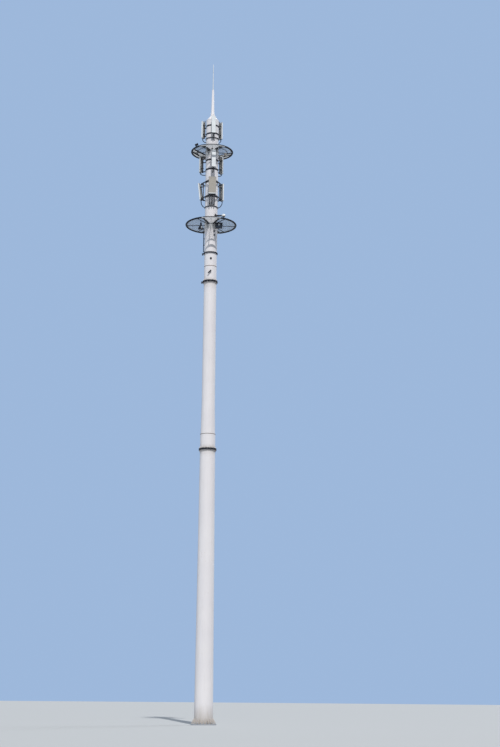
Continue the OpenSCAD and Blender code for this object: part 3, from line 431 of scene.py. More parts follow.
# Bands of dirt are listed with their height, reach and amount
finishes = {
    "lowerShaft": makeCoat("lowerShaftPaint", "shaftPaint", dirt=((0.0, 1.3, 0.75), (15.5, 0.5, 0.35))),
    "middleShaft": makeCoat("middleShaftPaint", "shaftPaint", dirt=((15.5, 0.35, 0.5), (25.65, 0.6, 0.4))),
    "upperShaft": makeCoat("upperShaftPaint", "shaftPaint", streaks=0.24, rust=0.06,
                           dirt=((25.65, 0.3, 0.4), (29.0, 0.4, 0.2), (33.8, 0.3, 0.2))),
    "spirePaint": makeCoat("spirePaint", "shaftPaint", 1.12, streaks=0.2, rust=0.05,
                           dirt=((36.3, 0.12, 0.25),)),
    "darkSteel": makeCoat("darkSteelPaint", "darkPaint"),
    "rimSteel": makeCoat("rimSteelPaint", "darkPaint", 0.9, wear=0.3, rust=0.05, roughs=(0.47, 0.69)),
    # Near-black paint for the joint flanges, the head collar and their bolts: mostly painted shade for the
    # shade under the flanges, partly dirt
    "flangeShadeDarkSteel": makeCoat("flangeShadeDarkPaint", "darkPaint", 0.9, wear=0.35),
    "darkHousing": makeCoat("darkHousingCoat", "darkPaint", 1.5, wear=0.3, roughs=(0.34, 0.56)),
    # The lens finish is the floodlight's pale painted highlight
    "lens": makeLens("lampGlintLens"),
    "rubber": makeCoat("cableJacket", "rubber"),
    "darkGlass": makeCoat("smokedGlass", "smokedGlass"),
}
# The finishes that have colours of their own
twoColors = {
    "platePaint": ("platePaint", "lightPaint", (0.56, 0.58, 0.61), (0.48, 0.50, 0.54), {}),
    "collarPaint": ("collarPaint", "lightPaint", (0.70, 0.71, 0.73), (0.60, 0.62, 0.65), {}),
    "kickPaint": ("kickPlatePaint", "lightPaint", (0.90, 0.91, 0.92), (0.84, 0.85, 0.87), {"wear": 0.2}),
    "mesh": ("meshZinc", "zinc", (0.24, 0.275, 0.325), (0.34, 0.38, 0.43),
             {"metal": 0.1, "rust": 0.0, "roughs": (0.53, 0.80)}),
    "grating": ("gratingZinc", "zinc", (0.46, 0.47, 0.49), (0.62, 0.63, 0.65),
                {"metal": 0.2, "roughs": (0.48, 0.75)}),
    "zinc": ("dullZinc", "zinc", (0.36, 0.38, 0.40), (0.58, 0.60, 0.62), {}),
    # The antenna pipes' zinc is near black: partly their weathered colour, partly painted shade for the shade
    # they stand in
    "pipeShadeDarkZinc": ("pipeShadeDarkZinc", "zinc", (0.075, 0.080, 0.090), (0.150, 0.155, 0.170), {"metal": 0.3}),
    "seamZinc": ("seamZinc", "zinc", (0.17, 0.155, 0.145), (0.27, 0.25, 0.235),
                 {"metal": 0.2, "rust": 0.5, "roughs": (0.48, 0.75)}),
    "rodZinc": ("rodZinc", "zinc", (0.60, 0.62, 0.64), (0.80, 0.81, 0.82), {"metal": 0.25}),
    "boltZinc": ("boltZinc", "zinc", (0.30, 0.31, 0.33), (0.55, 0.56, 0.58),
                 {"metal": 0.7, "roughs": (0.30, 0.57)}),
    "trayGrey": ("backTrayGrey", "zinc", (0.33, 0.32, 0.30), (0.43, 0.42, 0.395),
                 {"metal": 0.1, "rust": 0.1, "roughs": (0.48, 0.75)}),
    "radomeWhite": ("radomeWhite", "radome", (0.84, 0.88, 0.92), (0.76, 0.80, 0.85), {}),
    "radomeBeige": ("radomeBeige", "radome", (0.40, 0.37, 0.33), (0.35, 0.33, 0.30),
                    {"roughs": (0.5, 0.75)}),
    "cameraWhite": ("cameraWhite", "radome", (0.92, 0.93, 0.94), (0.86, 0.88, 0.90),
                    {"roughs": (0.3, 0.75)}),
}
for finish, (name, family, color, shade, changes) in twoColors.items():
    finishes[finish] = makeCoat(name, family, colors=(color, shade), **changes)

finishNodes = {
    "lowerShaft": "lower_shaft access_hatch", "middleShaft": "middle_shaft",
    "upperShaft": "port_section head_shaft", "spirePaint": "cap_cone spire_tube", "rodZinc": "spire_rod",
    # The antenna pipes get the near-black zinc, which is partly painted shade
    "zinc": "base_flange", "seamZinc": "seam_bands", "pipeShadeDarkZinc": "antenna_pipes",
    # The flanges and the head collar get the near-black paint that is mostly painted shade
    "flangeShadeDarkSteel": "lower_joint_flanges upper_joint_flanges head_collar",
    "darkSteel": "cable_ports cable_rings side_conduit top_clamps top_brackets mid_clamps mid_brackets "
                 "low_frames low_brackets camera_arm",
    "rimSteel": "lower_disc_left_frame lower_disc_right_frame upper_disc_left_frame upper_disc_right_frame",
    "collarPaint": "lower_disc_collar upper_disc_collar", "kickPaint": "upper_disc_kick_plate",
    "platePaint": "lower_disc_bridges upper_disc_bridges", "mesh": "lower_disc_mesh upper_disc_mesh",
    "radomeWhite": "top_antennas mid_antennas low_side_antennas", "cameraWhite": "dome_camera",
    "radomeBeige": "low_front_antenna junction_box", "darkHousing": "floodlights rim_lamp",
    "rubber": "jumper_cables",
}
for finish, nodes in finishNodes.items():
    for node in nodes.split():
        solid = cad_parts[node]
        if not solid.material_slots:
            solid.data.materials.append(None)
        for slot in solid.material_slots:
            slot.material = finishes[finish]
print("tower: finishes made")


# Builders of small parts
meshing = {"merge": 0.00002, "sharpAngle": 35, "chamferSteps": 2, "chamferProfile": 0.6, "steep": 0.15}
seat = 0.0003  # how far a fitting stands off the face that it is laid on
boltSeat = 0.0004


def finishPiece(name, bm, finish, smooth=True):
    mesh = bpy.data.meshes.new(name)
    bmesh.ops.remove_doubles(bm, verts=bm.verts, dist=meshing["merge"])
    bmesh.ops.recalc_face_normals(bm, faces=bm.faces)
    bm.to_mesh(mesh)
    bm.free()
    piece = linkObject(name, mesh)
    mesh.materials.append(finishes[finish])
    if smooth:
        mesh.shade_smooth()
        mesh.set_sharp_from_angle(angle=math.radians(meshing["sharpAngle"]))
    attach(piece, "root")
    return piece


def arc(radius, start, end, steps):
    # Pairs along an arc, between two angles in radians
    angles = [start + (end - start) * k / steps for k in range(steps + 1)]
    return [(radius * math.cos(a), radius * math.sin(a)) for a in angles]


def circlePoints(radius, z, start, end, steps):
    # Points round the shaft, between two angles in degrees from the front
    angles = [math.radians(start + (end - start) * k / steps) for k in range(steps + 1)]
    return [Vector((radius * math.sin(a), -radius * math.cos(a), z)) for a in angles]


def addSkin(bm, rings, ends=True):
    # Faces from each ring of vertices to the next, and over the two ends
    for low, high in zip(rings, rings[1:]):
        for k in range(len(low)):
            n = (k + 1) % len(low)
            bm.faces.new((low[k], low[n], high[n], high[k]))
    if ends:
        bm.faces.new(list(reversed(rings[0])))
        bm.faces.new(rings[-1])


def addLathe(bm, place, outline, sides=24):
    # A solid of revolution about the local Z axis from (radius, height) points
    rings = []
    for radius, height in outline:
        ring = arc(radius, 0, math.tau, sides)[:sides if radius > 0 else 1]
        rings.append([bm.verts.new(place @ Vector((x, y, height))) for x, y in ring])
    for low, high in zip(rings, rings[1:]):
        for k in range(sides):
            n = k + 1
            corners = [low[k % len(low)], low[n % len(low)], high[n % len(high)], high[k % len(high)]]
            corners = list(dict.fromkeys(corners))  # a ring of radius 0 is one point
            if len(corners) > 2:
                bm.faces.new(corners)


def addBox(bm, place, low, high, chamfer):
    # A box from corner to corner, with every edge chamfered
    x0, y0, z0 = low
    x1, y1, z1 = high
    verts = [bm.verts.new(place @ Vector(p)) for p in (
        (x0, y0, z0), (x1, y0, z0), (x1, y1, z0), (x0, y1, z0),
        (x0, y0, z1), (x1, y0, z1), (x1, y1, z1), (x0, y1, z1))]
    faces = [bm.faces.new([verts[i] for i in ids]) for ids in (
        (3, 2, 1, 0), (4, 5, 6, 7), (0, 1, 5, 4), (1, 2, 6, 5), (2, 3, 7, 6), (3, 0, 4, 7))]
    edges = list({edge for face in faces for edge in face.edges})
    bmesh.ops.bevel(bm, geom=edges, offset=chamfer, segments=meshing["chamferSteps"],
                    profile=meshing["chamferProfile"], affect="EDGES")


def addSideBox(bm, place, side, low, high, chamfer):
    # A box that is drawn on the right side, and mirrored to the left where side is -1
    xs = sorted((side * low[0], side * high[0]))
    addBox(bm, place, (xs[0], *low[1:]), (xs[1], *high[1:]), chamfer)


# Outlines of a bolt's parts, as shares of its size
bolt = {
    "washer": [(0, 0), (1.15, 0), (1.15, 0.18), (0, 0.18)],
    "head": [(0, 0.19), (0.95, 0.19), (0.95, 0.78), (0.80, 0.90), (0, 0.90)],
    "lockNut": [(0, 0), (0.92, 0), (0.95, 0.08), (0.95, 0.5), (0.80, 0.6), (0, 0.6)],
}


def sized(outline, size):
    return [(radius * size, height * size) for radius, height in outline]


def addBolt(bm, place, size):
    # Washer and hexagon head with a rounded top
    addLathe(bm, place, sized(bolt["washer"], size), sides=20)
    addLathe(bm, place, sized(bolt["head"], size), sides=6)


# The thread of a stud, as shares of its size
stud = {"pitch": 0.22, "crest": 0.50, "root": 0.44, "tip": 0.42, "lockNutAt": 0.92}


def addStud(bm, place, size, rise):
    # A threaded end that stands up through a nut, with a second lock nut
    turns = int(rise / (size * stud["pitch"]))
    outline = [(0, 0)]
    for k in range(turns):
        foot = rise * k / turns
        outline += [(size * stud["crest"], foot), (size * stud["root"], foot + rise / turns / 2)]
    outline += [(size * stud["tip"], rise), (0, rise)]
    addLathe(bm, place, outline, sides=14)
    addBolt(bm, place, size)
    addLathe(bm, place @ at(0, 0, size * stud["lockNutAt"]), sized(bolt["lockNut"], size), sides=6)


def addTube(bm, points, radius, sides=12, wobble=None):
    # A round tube along points, with closed ends; wobble gives each point's share of the radius
    rings, side = [], None
    last = len(points) - 1
    for i, point in enumerate(points):
        ahead = (points[min(i + 1, last)] - points[max(i - 1, 0)]).normalized()
        if side is None:
            side = ahead.cross(Vector((0, 0, 1)))
            if side.length < meshing["steep"]:  # the tube starts out nearly upright
                side = ahead.cross(Vector((1, 0, 0)))
        else:
            side = side - ahead * side.dot(ahead)  # keeps the rings from twisting in a bend
        side = side.normalized()
        other = ahead.cross(side)
        size = radius * (wobble(i) if wobble else 1)
        ring = arc(size, 0, math.tau, sides)[:sides]
        rings.append([bm.verts.new(point + side * x + other * y) for x, y in ring])
    addSkin(bm, rings)


# Turns a part that is drawn upwards to another side
facing = {
    "up": Matrix.Identity(4), "down": turned(180, "X"), "front": turned(90, "X"), "back": turned(-90, "X"),
    "right": turned(90, "Y"), "left": turned(-90, "Y"),
}


def evenTurns(count, phase=0.5):
    # Turns in equal steps round the shaft
    return [spin(360 * (k + phase) / count) for k in range(count)]


def addParts(bm, place, boxes=(), sideBoxes=(), lathes=(), bolts=(), sideBolts=()):
    # Boxes list two corners and a chamfer, lathes the side they face, their spot, outline and sides,
    # and bolts the side, size and spots. What is for both sides is listed as it lies on the right.
    for low, high, chamfer in boxes:
        addBox(bm, place, low, high, chamfer)
    for low, high, chamfer in sideBoxes:
        for side in (-1, 1):
            addSideBox(bm, place, side, low, high, chamfer)
    for side, spot, outline, sides in lathes:
        addLathe(bm, place @ at(*spot) @ facing[side], outline, sides)
    for side, size, spots in bolts:
        for spot in spots:
            addBolt(bm, place @ at(*spot) @ facing[side], size)
    for size, spots in sideBolts:
        for x, y, z in spots:
            addBolt(bm, place @ at(x, y, z) @ facing["right"], size)
            addBolt(bm, place @ at(-x, y, z) @ facing["left"], size)


def buildPiece(name, finish, places, **parts):
    # One piece with the same parts at each of its places
    bm = bmesh.new()
    for place in places:
        addParts(bm, place, **parts)
    finishPiece(name, bm, finish)


# Base and shaft
base = {"circle": 0.640, "count": 24, "size": 0.038, "foot": 0.0505, "rise": 0.105}


def buildBaseStuds():
    # Threaded studs with nuts in the holes of the base flange
    bm = bmesh.new()
    for turn in evenTurns(base["count"], phase=0):
        addStud(bm, turn @ at(base["circle"], 0, base["foot"]), base["size"], base["rise"])
    finishPiece("base_studs", bm, "boltZinc")


weld = {"step": 0.035, "thin": 0.8, "thick": 1.15, "sides": 6, "size": 0.0045}
footWeld = {"radius": 0.532, "z": 0.054, "size": 0.009, "seed": 3}
shaftWelds = [
    {"name": "lower_shaft_welds", "finish": "lowerShaft", "heights": (2.95, 5.9, 8.85, 11.8, 14.4),
     "foot": 0.05, "footRadius": 0.53, "top": 15.51, "topRadius": 0.44, "sunk": 0.0022},
    {"name": "middle_shaft_welds", "finish": "middleShaft", "heights": (18.34, 20.9, 23.4),
     "foot": 18.33, "footRadius": 0.3875, "top": 25.65, "topRadius": 0.3725, "sunk": 0.0022},
    {"name": "head_shaft_welds", "finish": "upperShaft", "heights": (30.66, 33.36),
     "foot": 29.0, "footRadius": 0.380, "top": 36.3, "topRadius": 0.380, "sunk": 0.0020},
]


def addWeld(bm, radius, z, size, seed):
    # A fillet weld round the shaft, uneven along its run
    random.seed(seed)
    count = int(radius * math.tau / weld["step"])
    sizes = [random.uniform(weld["thin"], weld["thick"]) for _ in range(count + 1)]
    addTube(bm, circlePoints(radius, z, 0, 360, count), size, weld["sides"], lambda i: sizes[i])


def buildWelds(shaft):
    # The welds round one length of shaft, and the one where the shaft meets the base
    bm = bmesh.new()
    if shaft is shaftWelds[0]:
        addWeld(bm, footWeld["radius"], footWeld["z"], footWeld["size"], footWeld["seed"])
    slope = (shaft["topRadius"] - shaft["footRadius"]) / (shaft["top"] - shaft["foot"])
    for z in shaft["heights"]:
        radius = shaft["footRadius"] + slope * (z - shaft["foot"])
        addWeld(bm, radius - shaft["sunk"], z, weld["size"], seed=int(z * 10))
    finishPiece(shaft["name"], bm, shaft["finish"])


hatch = {
    "hinges": (-0.218, (1.08, 1.62)), "proud": 0.004,
    "leaf": ((0.010, -0.010, -0.055), (0.075, -0.002, 0.055), 0.0015),
    "barrelFoot": (0, 0, -0.06),
    "barrel": [(0, 0), (0.013, 0), (0.015, 0.004), (0.015, 0.038), (0.013, 0.040), (0.015, 0.042),
               (0.015, 0.078), (0.013, 0.080), (0.015, 0.082), (0.015, 0.116), (0.013, 0.12), (0, 0.12)],
    "lock": (0.150, 1.35), "handle": ((-0.010, 0.004, -0.075), (0.010, 0.016, 0.018), 0.003),
    "rose": [(0, -0.006), (0.034, -0.006), (0.034, 0.004), (0.030, 0.008), (0.016, 0.009),
             (0.014, 0.004), (0, 0.004)],
}


def buildHatchFittings():
    # Hinges and lock of the access hatch on the back of the foot
    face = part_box("access_hatch")[1][1]
    x, heights = hatch["hinges"]
    buildPiece("hatch_hinges", "boltZinc", [at(x, face + hatch["proud"], z) for z in heights],
               boxes=[hatch["leaf"]], lathes=[("up", hatch["barrelFoot"], hatch["barrel"], 16)])
    x, z = hatch["lock"]
    buildPiece("hatch_lock", "darkSteel", [at(x, face, z)], boxes=[hatch["handle"]],
               lathes=[("back", (0, 0, 0), hatch["rose"], 28)])


buildBaseStuds()
for shaft in shaftWelds:
    buildWelds(shaft)
buildHatchFittings()
print("tower: base dressed")


# Bolted joints
joints = [
    {"name": "lower_joint_bolts", "z": 15.51, "radius": 0.492, "half": 0.032, "count": 32, "size": 0.026},
    {"name": "upper_joint_bolts", "z": 25.65, "radius": 0.4245, "half": 0.032, "count": 32, "size": 0.024},
]
# The bolt's end below its nut: radii and the nut's height as shares of the size, lengths in metres
boltEnd = {"radius": 0.46, "tip": 0.36, "from": 0.85, "shoulder": 0.018, "length": 0.022}


def buildJointBolts(joint):
    # Bolt heads on the upper flange, and nuts with the bolts' ends under the lower one
    bm = bmesh.new()
    size, out = joint["size"], joint["half"] + boltSeat
    radius, tip = size * boltEnd["radius"], size * boltEnd["tip"]
    shoulder, length = boltEnd["shoulder"], boltEnd["length"]
    end = [(0, 0), (radius, 0), (radius, shoulder), (tip, length), (0, length)]
    for turn in evenTurns(joint["count"]):
        place = turn @ at(joint["radius"], 0, joint["z"])
        addParts(bm, place, bolts=[("up", size, [(0, 0, out)]), ("down", size, [(0, 0, -out)])],
                 lathes=[("down", (0, 0, -out - size * boltEnd["from"]), end, 12)])
    # The bolts take the flanges' near-black paint, which is mostly painted shade
    finishPiece(joint["name"], bm, "flangeShadeDarkSteel")


headCollar = {"height": 0.060, "bolts": 24, "boltSize": 0.017, "boltInset": 0.024}


def buildCollarBolts():
    # Bolts round the dark collar, on its top and its underside
    high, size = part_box("head_collar")[1], headCollar["boltSize"]
    first = at(high[0] - headCollar["boltInset"], 0, high[2])
    places = [turn @ first for turn in evenTurns(headCollar["bolts"])]
    # The collar's bolts take the near-black paint, which is mostly painted shade
    buildPiece("head_collar_bolts", "flangeShadeDarkSteel", places, bolts=[
        ("up", size, [(0, 0, boltSeat)]), ("down", size, [(0, 0, -headCollar["height"] - boltSeat)])])


for joint in joints:
    buildJointBolts(joint)
buildCollarBolts()
print("tower: joints bolted")


# Platform discs
discs = [
    {"name": "lower_disc", "z": 29.225, "radius": 1.490, "corner": 0.130},
    {"name": "upper_disc", "z": 33.915, "radius": 1.235, "corner": 0.330},
]
upperDisc = discs[1]
wing = {
    "collar": 0.400, "collarGap": 0.006, "inWidth": 0.290, "outWidth": 1.000, "rim": 0.050, "gap": 0.0543,
    "cornerSteps": 14, "rimSteps": 80, "innerSteps": 24, "shortest": 0.01,
}


def leftOf(along):
    return Vector((-along.y, along.x))


def runTo(start, along, radius):
    # Where a line from a point reaches a distance from the shaft's axis
    dot = start.dot(along)
    return start + (-dot + math.sqrt(dot * dot - start.dot(start) + radius * radius)) * along


def wingShape(disc):
    # Start and direction of the left wing's front tube, its inward normal, and its corner's centre
    radius, corner = disc["radius"], disc["corner"]
    inHalf, outHalf = wing["inWidth"] / 2, wing["outWidth"] / 2
    start = Vector((-inHalf, -math.sqrt(wing["collar"] ** 2 - inHalf ** 2)))
    rimEnd = Vector((-outHalf, -math.sqrt(radius ** 2 - outHalf ** 2)))
    along = (rimEnd - start).normalized()
    normal = Vector((along.y, -along.x))
    return start, along, normal, runTo(start + corner * normal, along, radius - corner)


def wingOutline(disc, inset):
    # The left wing's outline, drawn in by a distance, as a closed list of points
    start, along, normal, middle = wingShape(disc)
    collar = wing["collar"] + wing["collarGap"] + max(0.0, inset - wing["gap"])
    foot = runTo(start + inset * normal, along, collar)
    edgeTurn = math.atan2(-normal.y, -normal.x)
    rimTurn = math.atan2(middle.y, middle.x)
    footTurn = math.atan2(foot.y, foot.x)
    corner = [middle + Vector(p) for p in arc(disc["corner"] - inset, edgeTurn, rimTurn, wing["cornerSteps"])]
    rim = [Vector(p) for p in arc(disc["radius"] - inset, rimTurn, -math.tau - rimTurn, wing["rimSteps"])]
    back = [Vector((p.x, -p.y)) for p in reversed(corner)]
    inner = [Vector(p) for p in arc(collar, footTurn, -math.tau - footTurn, wing["innerSteps"])]
    return corner + rim[1:-1] + back + inner[::-1]


def cutLine(outline, origin, along):
    # The stretches of a line that lie inside an outline
    hits = []
    across = leftOf(along)
    for a, b in zip(outline, outline[1:] + outline[:1]):
        da, db = (a - origin).dot(across), (b - origin).dot(across)
        if (da > 0) != (db > 0):
            hits.append((a + (b - a) * da / (da - db) - origin).dot(along))
    hits.sort()
    return [(a, b) for a, b in zip(hits[::2], hits[1::2]) if b - a > wing["shortest"]]


def addBar(bm, origin, along, span, width, heights, sign=1):
    # A flat bar over a stretch of a line, mirrored to the other wing where sign is -1
    side = leftOf(along) * width / 2
    a, b = [origin + along * reach for reach in span]
    corners = (a - side, b - side, b + side, a + side)
    verts = [bm.verts.new((sign * p.x, p.y, z)) for z in heights for p in corners]
    for ids in ((0, 1, 2, 3), (7, 6, 5, 4), (0, 4, 5, 1), (1, 5, 6, 2), (2, 6, 7, 3), (3, 7, 4, 0)):
        bm.faces.new([verts[i] for i in ids])


strands = {"width": 0.0055, "thick": 0.0022, "pitch": 0.026, "lap": 0.0002, "border": 0.030, "runIn": 0.006}


def buildDiscMesh(disc):
    # Crossed strands cut to the wing, inside a flat border, in place of the coarse sheet
    bm = bmesh.new()
    outer = wingOutline(disc, wing["gap"])
    inner = wingOutline(disc, wing["gap"] + strands["border"])
    z, thick, lap, runIn = disc["z"], strands["thick"], strands["lap"], strands["runIn"]
    count = int(disc["radius"] / strands["pitch"]) + 2
    for sign in (1, -1):
        for turn, low, high in ((45, -lap, thick), (-45, -thick, lap)):
            along = Vector((math.cos(math.radians(turn)), math.sin(math.radians(turn))))
            for k in range(-count, count + 1):
                origin = leftOf(along) * k * strands["pitch"]
                for a, b in cutLine(inner, origin, along):
                    span, heights = (a - runIn, b + runIn), (z + low, z + high)
                    addBar(bm, origin, along, span, strands["width"], heights, sign)
        rings = [[bm.verts.new((sign * p.x, p.y, z + up)) for p in line]
                 for line, up in ((outer, -thick), (inner, -thick), (inner, thick), (outer, thick))]
        addSkin(bm, rings + rings[:1], ends=False)
    piece = finishPiece(disc["name"] + "_strands", bm, "mesh", smooth=False)
    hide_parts(disc["name"] + "_mesh")


bridge = {
    "arcShare": 0.8, "clear": 0.012, "pitch": 0.030, "strand": 0.0030, "height": 0.0060, "shortest": 0.015,
}


def cutAway(spans, holes):
    # What is left of some stretches of a line once other stretches are taken out
    for low, high in holes:
        left = []
        for a, b in spans:
            if high <= a or low >= b:
                left.append((a, b))
                continue
            if low > a:
                left.append((a, low))
            if high < b:
                left.append((high, b))
        spans = left
    return [(a, b) for a, b in spans if b - a > bridge["shortest"]]


def buildBridgeGrating(disc):
    # Thin bars in the openings of the light grating, which run out from the shaft, front and back
    bm = bmesh.new()
    grown = wingOutline(disc, -wing["gap"] - bridge["clear"])
    mirrored = [Vector((-p.x, p.y)) for p in grown]
    outer = disc["radius"] * bridge["arcShare"] - bridge["clear"]
    inner = wing["collar"] + bridge["clear"]
    outward = Vector((0, 1))
    heights = (disc["z"] - bridge["height"] / 2, disc["z"] + bridge["height"] / 2)
    count = int(outer / bridge["pitch"])
    for k in range(-count, count + 1):
        offset = (k + 0.5) * bridge["pitch"]
        if abs(offset) >= outer:
            continue
        reach = math.sqrt(outer * outer - offset * offset)
        spans = [(-reach, reach)]
        if abs(offset) < inner:
            hidden = math.sqrt(inner * inner - offset * offset)
            spans = cutAway(spans, [(-hidden, hidden)])
        origin = Vector((offset, 0))
        spans = cutAway(spans, cutLine(grown, origin, outward) + cutLine(mirrored, origin, outward))
        for span in spans:
            addBar(bm, origin, outward, span, bridge["strand"], heights)
    finishPiece(disc["name"] + "_bridge_bars", bm, "grating", smooth=False)


# The profile's points are measured from the rim's radius and the disc's height
rimTrim = {
    "profile": [(0.0304, -0.0040), (0.0336, -0.0025), (0.0336, 0.0430), (0.0316, 0.0450), (-0.0304, 0.0450),
                (-0.0304, 0.0405), (0.0304, 0.0405)],
    "gap": 8.595, "steps": 48,  # the gap in degrees, for a radius of one metre
}


def buildRimTrim(disc):
    # A dark steel edge strip along the top of the rim band, where it crosses the front and the back
    bm = bmesh.new()
    profile = [Vector((0, -disc["radius"] - out, disc["z"] + up)) for out, up in rimTrim["profile"]]
    middle = wingShape(disc)[3]
    reach = math.degrees(math.atan2(-middle.x, -middle.y)) - rimTrim["gap"] / disc["radius"]
    for side in (0, 180):
        rings = []
        for k in range(rimTrim["steps"] + 1):
            turn = spin(side - reach + 2 * reach * k / rimTrim["steps"])
            rings.append([bm.verts.new(turn @ point) for point in profile])
        addSkin(bm, rings)
    finishPiece(disc["name"] + "_rim_trim", bm, "rimSteel")


spokes = {"angles": (34, 94, 145)}
clip = {
    "count": 5, "inner": 0.12, "outer": 0.15, "half": 0.0215, "drop": 0.0205, "rise": 0.004, "wire": 0.0035,
    "plate": ((-0.030, -0.013, 0.0032), (0.030, 0.013, 0.0062)), "chamfer": 0.0008, "screw": 0.006,
    "steps": 8, "sides": 6,
}


def addClip(bm, place):
    # A saddle under the spoke, a plate over it, and two screws
    half, top = clip["half"], clip["plate"][1][2]
    saddle = [(x, -clip["drop"] - y) for x, y in arc(half, 0, math.pi, clip["steps"])]
    saddle = [(half, clip["rise"])] + saddle + [(-half, clip["rise"])]
    addTube(bm, [place @ Vector((x, 0, z)) for x, z in saddle], clip["wire"], clip["sides"])
    addBox(bm, place, *clip["plate"], clip["chamfer"])
    for x in (-half, half):
        addBolt(bm, place @ at(x, 0, top), clip["screw"])


def buildMeshClips(disc):
    # Clips that hold the mesh down on the spokes
    bm = bmesh.new()
    start, end = wing["collar"] + clip["inner"], disc["radius"] - clip["outer"]
    for side in (-1, 1):
        for angle in spokes["angles"]:
            for k in range(clip["count"]):
                radius = start + (end - start) * k / (clip["count"] - 1)
                addClip(bm, spin(side * angle) @ at(0, -radius, disc["z"]))
    finishPiece(disc["name"] + "_clips", bm, "boltZinc")


discBolts = {
    "round": 16, "rows": (-0.24, -0.13, 0.035), "size": 0.015,
    "barBolts": [("up", 0.012, [(0, -0.47, 0.0254), (0, -0.66, 0.0254)])],
    "grips": (0.56, 0.80), "gripClear": 0.006, "gripWire": 0.0055, "gripSteps": 28, "gripSides": 8,
}


def buildDiscBolts(disc):
    # Bolts on the collar and in the bars, and grips where the bridges meet the wings' tubes
    bm = bmesh.new()
    z = disc["z"]
    rows = [(0, -wing["collar"] - seat, up) for up in discBolts["rows"]]
    for turn in evenTurns(discBolts["round"]):
        addParts(bm, turn @ at(0, 0, z), bolts=[("front", discBolts["size"], rows)])
    for turn in evenTurns(2, phase=0):
        addParts(bm, turn @ at(0, 0, z), bolts=discBolts["barBolts"])
    start, along = wingShape(disc)[:2]
    circle = arc(wing["rim"] + discBolts["gripClear"], 0, math.tau, discBolts["gripSteps"])
    for share in discBolts["grips"]:
        spot = runTo(start, along, disc["radius"] * share)
        for sx in (-1, 1):
            for sy in (-1, 1):
                centre = Vector((sx * spot.x, sy * spot.y, z))
                out = Vector((-sy * along.y, sx * along.x, 0))
                loop = [centre + out * x + Vector((0, 0, y)) for x, y in circle]
                addTube(bm, loop, discBolts["gripWire"], discBolts["gripSides"])
    finishPiece(disc["name"] + "_bolts", bm, "boltZinc")


discWelds = {
    "radius": 0.382, "size": 0.007, "beads": ((0.062, 13), (-0.302, 14)),
    "spokeRadius": 0.0185, "spokeDrop": 0.0203, "spokeOut": 0.003, "spokeSize": 0.004,
    "spokeSeed": 21, "steps": 16, "thin": 0.8, "thick": 1.2, "sides": 6,
}


def buildDiscWelds(disc):
    # Beads where the collar ends on the shaft, and where the spokes meet the collar
    beads, rings = bmesh.new(), bmesh.new()
    for up, seed in discWelds["beads"]:
        addWeld(beads, discWelds["radius"], disc["z"] + up, discWelds["size"], seed)
    finishPiece(disc["name"] + "_welds", beads, "collarPaint")
    random.seed(discWelds["spokeSeed"])
    out, height = wing["collar"] + discWelds["spokeOut"], disc["z"] - discWelds["spokeDrop"]
    circle = arc(discWelds["spokeRadius"], 0, math.tau, discWelds["steps"])
    for angle in spokes["angles"]:
        for side in (-1, 1):
            centre = spin(side * angle) @ at(0, -out, height)
            addTube(rings, [centre @ Vector((x, 0, y)) for x, y in circle], discWelds["spokeSize"],
                    discWelds["sides"], lambda i: random.uniform(discWelds["thin"], discWelds["thick"]))
    finishPiece(disc["name"] + "_spoke_welds", rings, "darkSteel")


# Each bar runs from a point to a point, drawn on the left wing; the right wing's are mirrored
floorPlates = {
    "left": {"bars": [((-0.98, -0.40), (-0.23, 0.56)), ((-1.12, -0.02), (-0.45, 0.97))], "size": 0.055},
    "right": {"bars": [((-1.12, 0.04), (-0.35, 0.47)), ((-1.10, 0.30), (-0.42, 0.86))], "size": 0.034},
    "top": -0.0032, "thick": 0.0026, "barThick": 0.006, "joint": 0.004, "clear": 0.012, "gap": 0.0002,
    "lap": 0.0005,
}


def cutOutline(outline, origin, inward):
    # The part of an outline on the inward side of a straight line
    left = []
    for a, b in zip(outline, outline[1:] + outline[:1]):
        da, db = (a - origin).dot(inward), (b - origin).dot(inward)
        if da > 0:
            left.append(a)
        if (da > 0) != (db > 0):
            left.append(a + (b - a) * da / (da - db))
    return left


def addAngleBar(bm, outline, line, size, top, sign):
    # An angle bar along a line, one leg upright and the other flat at its foot
    origin, along = line
    thick = floorPlates["barThick"]
    flat = origin + leftOf(along) * ((size + thick) / 2 - floorPlates["lap"])
    for span in cutLine(outline, origin, along):
        addBar(bm, origin, along, span, thick, (top - size, top), sign)
        addBar(bm, flat, along, span, size, (top - size, top - size + thick), sign)


def addPlate(bm, area, low, high, sign):
    addSkin(bm, [[bm.verts.new((sign * p.x, p.y, up)) for p in area] for up in (low, high)])


def buildFloorPlates():
    # Light plates under the mesh at the back of the upper disc's wings, between dark angle bars
    plates, bars = bmesh.new(), bmesh.new()
    top = upperDisc["z"] + floorPlates["top"]
    foot = top - floorPlates["thick"]
    joint = floorPlates["joint"]
    outline = wingOutline(upperDisc, wing["gap"] + floorPlates["clear"])
    for side, sign in (("left", 1), ("right", -1)):
        ends = [(Vector(a), Vector(b)) for a, b in floorPlates[side]["bars"]]
        lines = [(a, (b - a).normalized()) for a, b in ends]
        (near, nearBack), (far, farBack) = [(origin, leftOf(along)) for origin, along in lines]
        between = cutOutline(outline, near + nearBack * joint, nearBack)
        between = cutOutline(between, far - farBack * joint, -farBack)
        beyond = cutOutline(outline, far + farBack * joint, farBack)
        for area, line in zip((between, beyond), lines):
            addPlate(plates, area, foot, top, sign)
            addAngleBar(bars, outline, line, floorPlates[side]["size"], foot - floorPlates["gap"], sign)
    finishPiece("upper_disc_floor_plates", plates, "kickPaint", smooth=False)
    finishPiece("upper_disc_plate_bars", bars, "darkSteel", smooth=False)


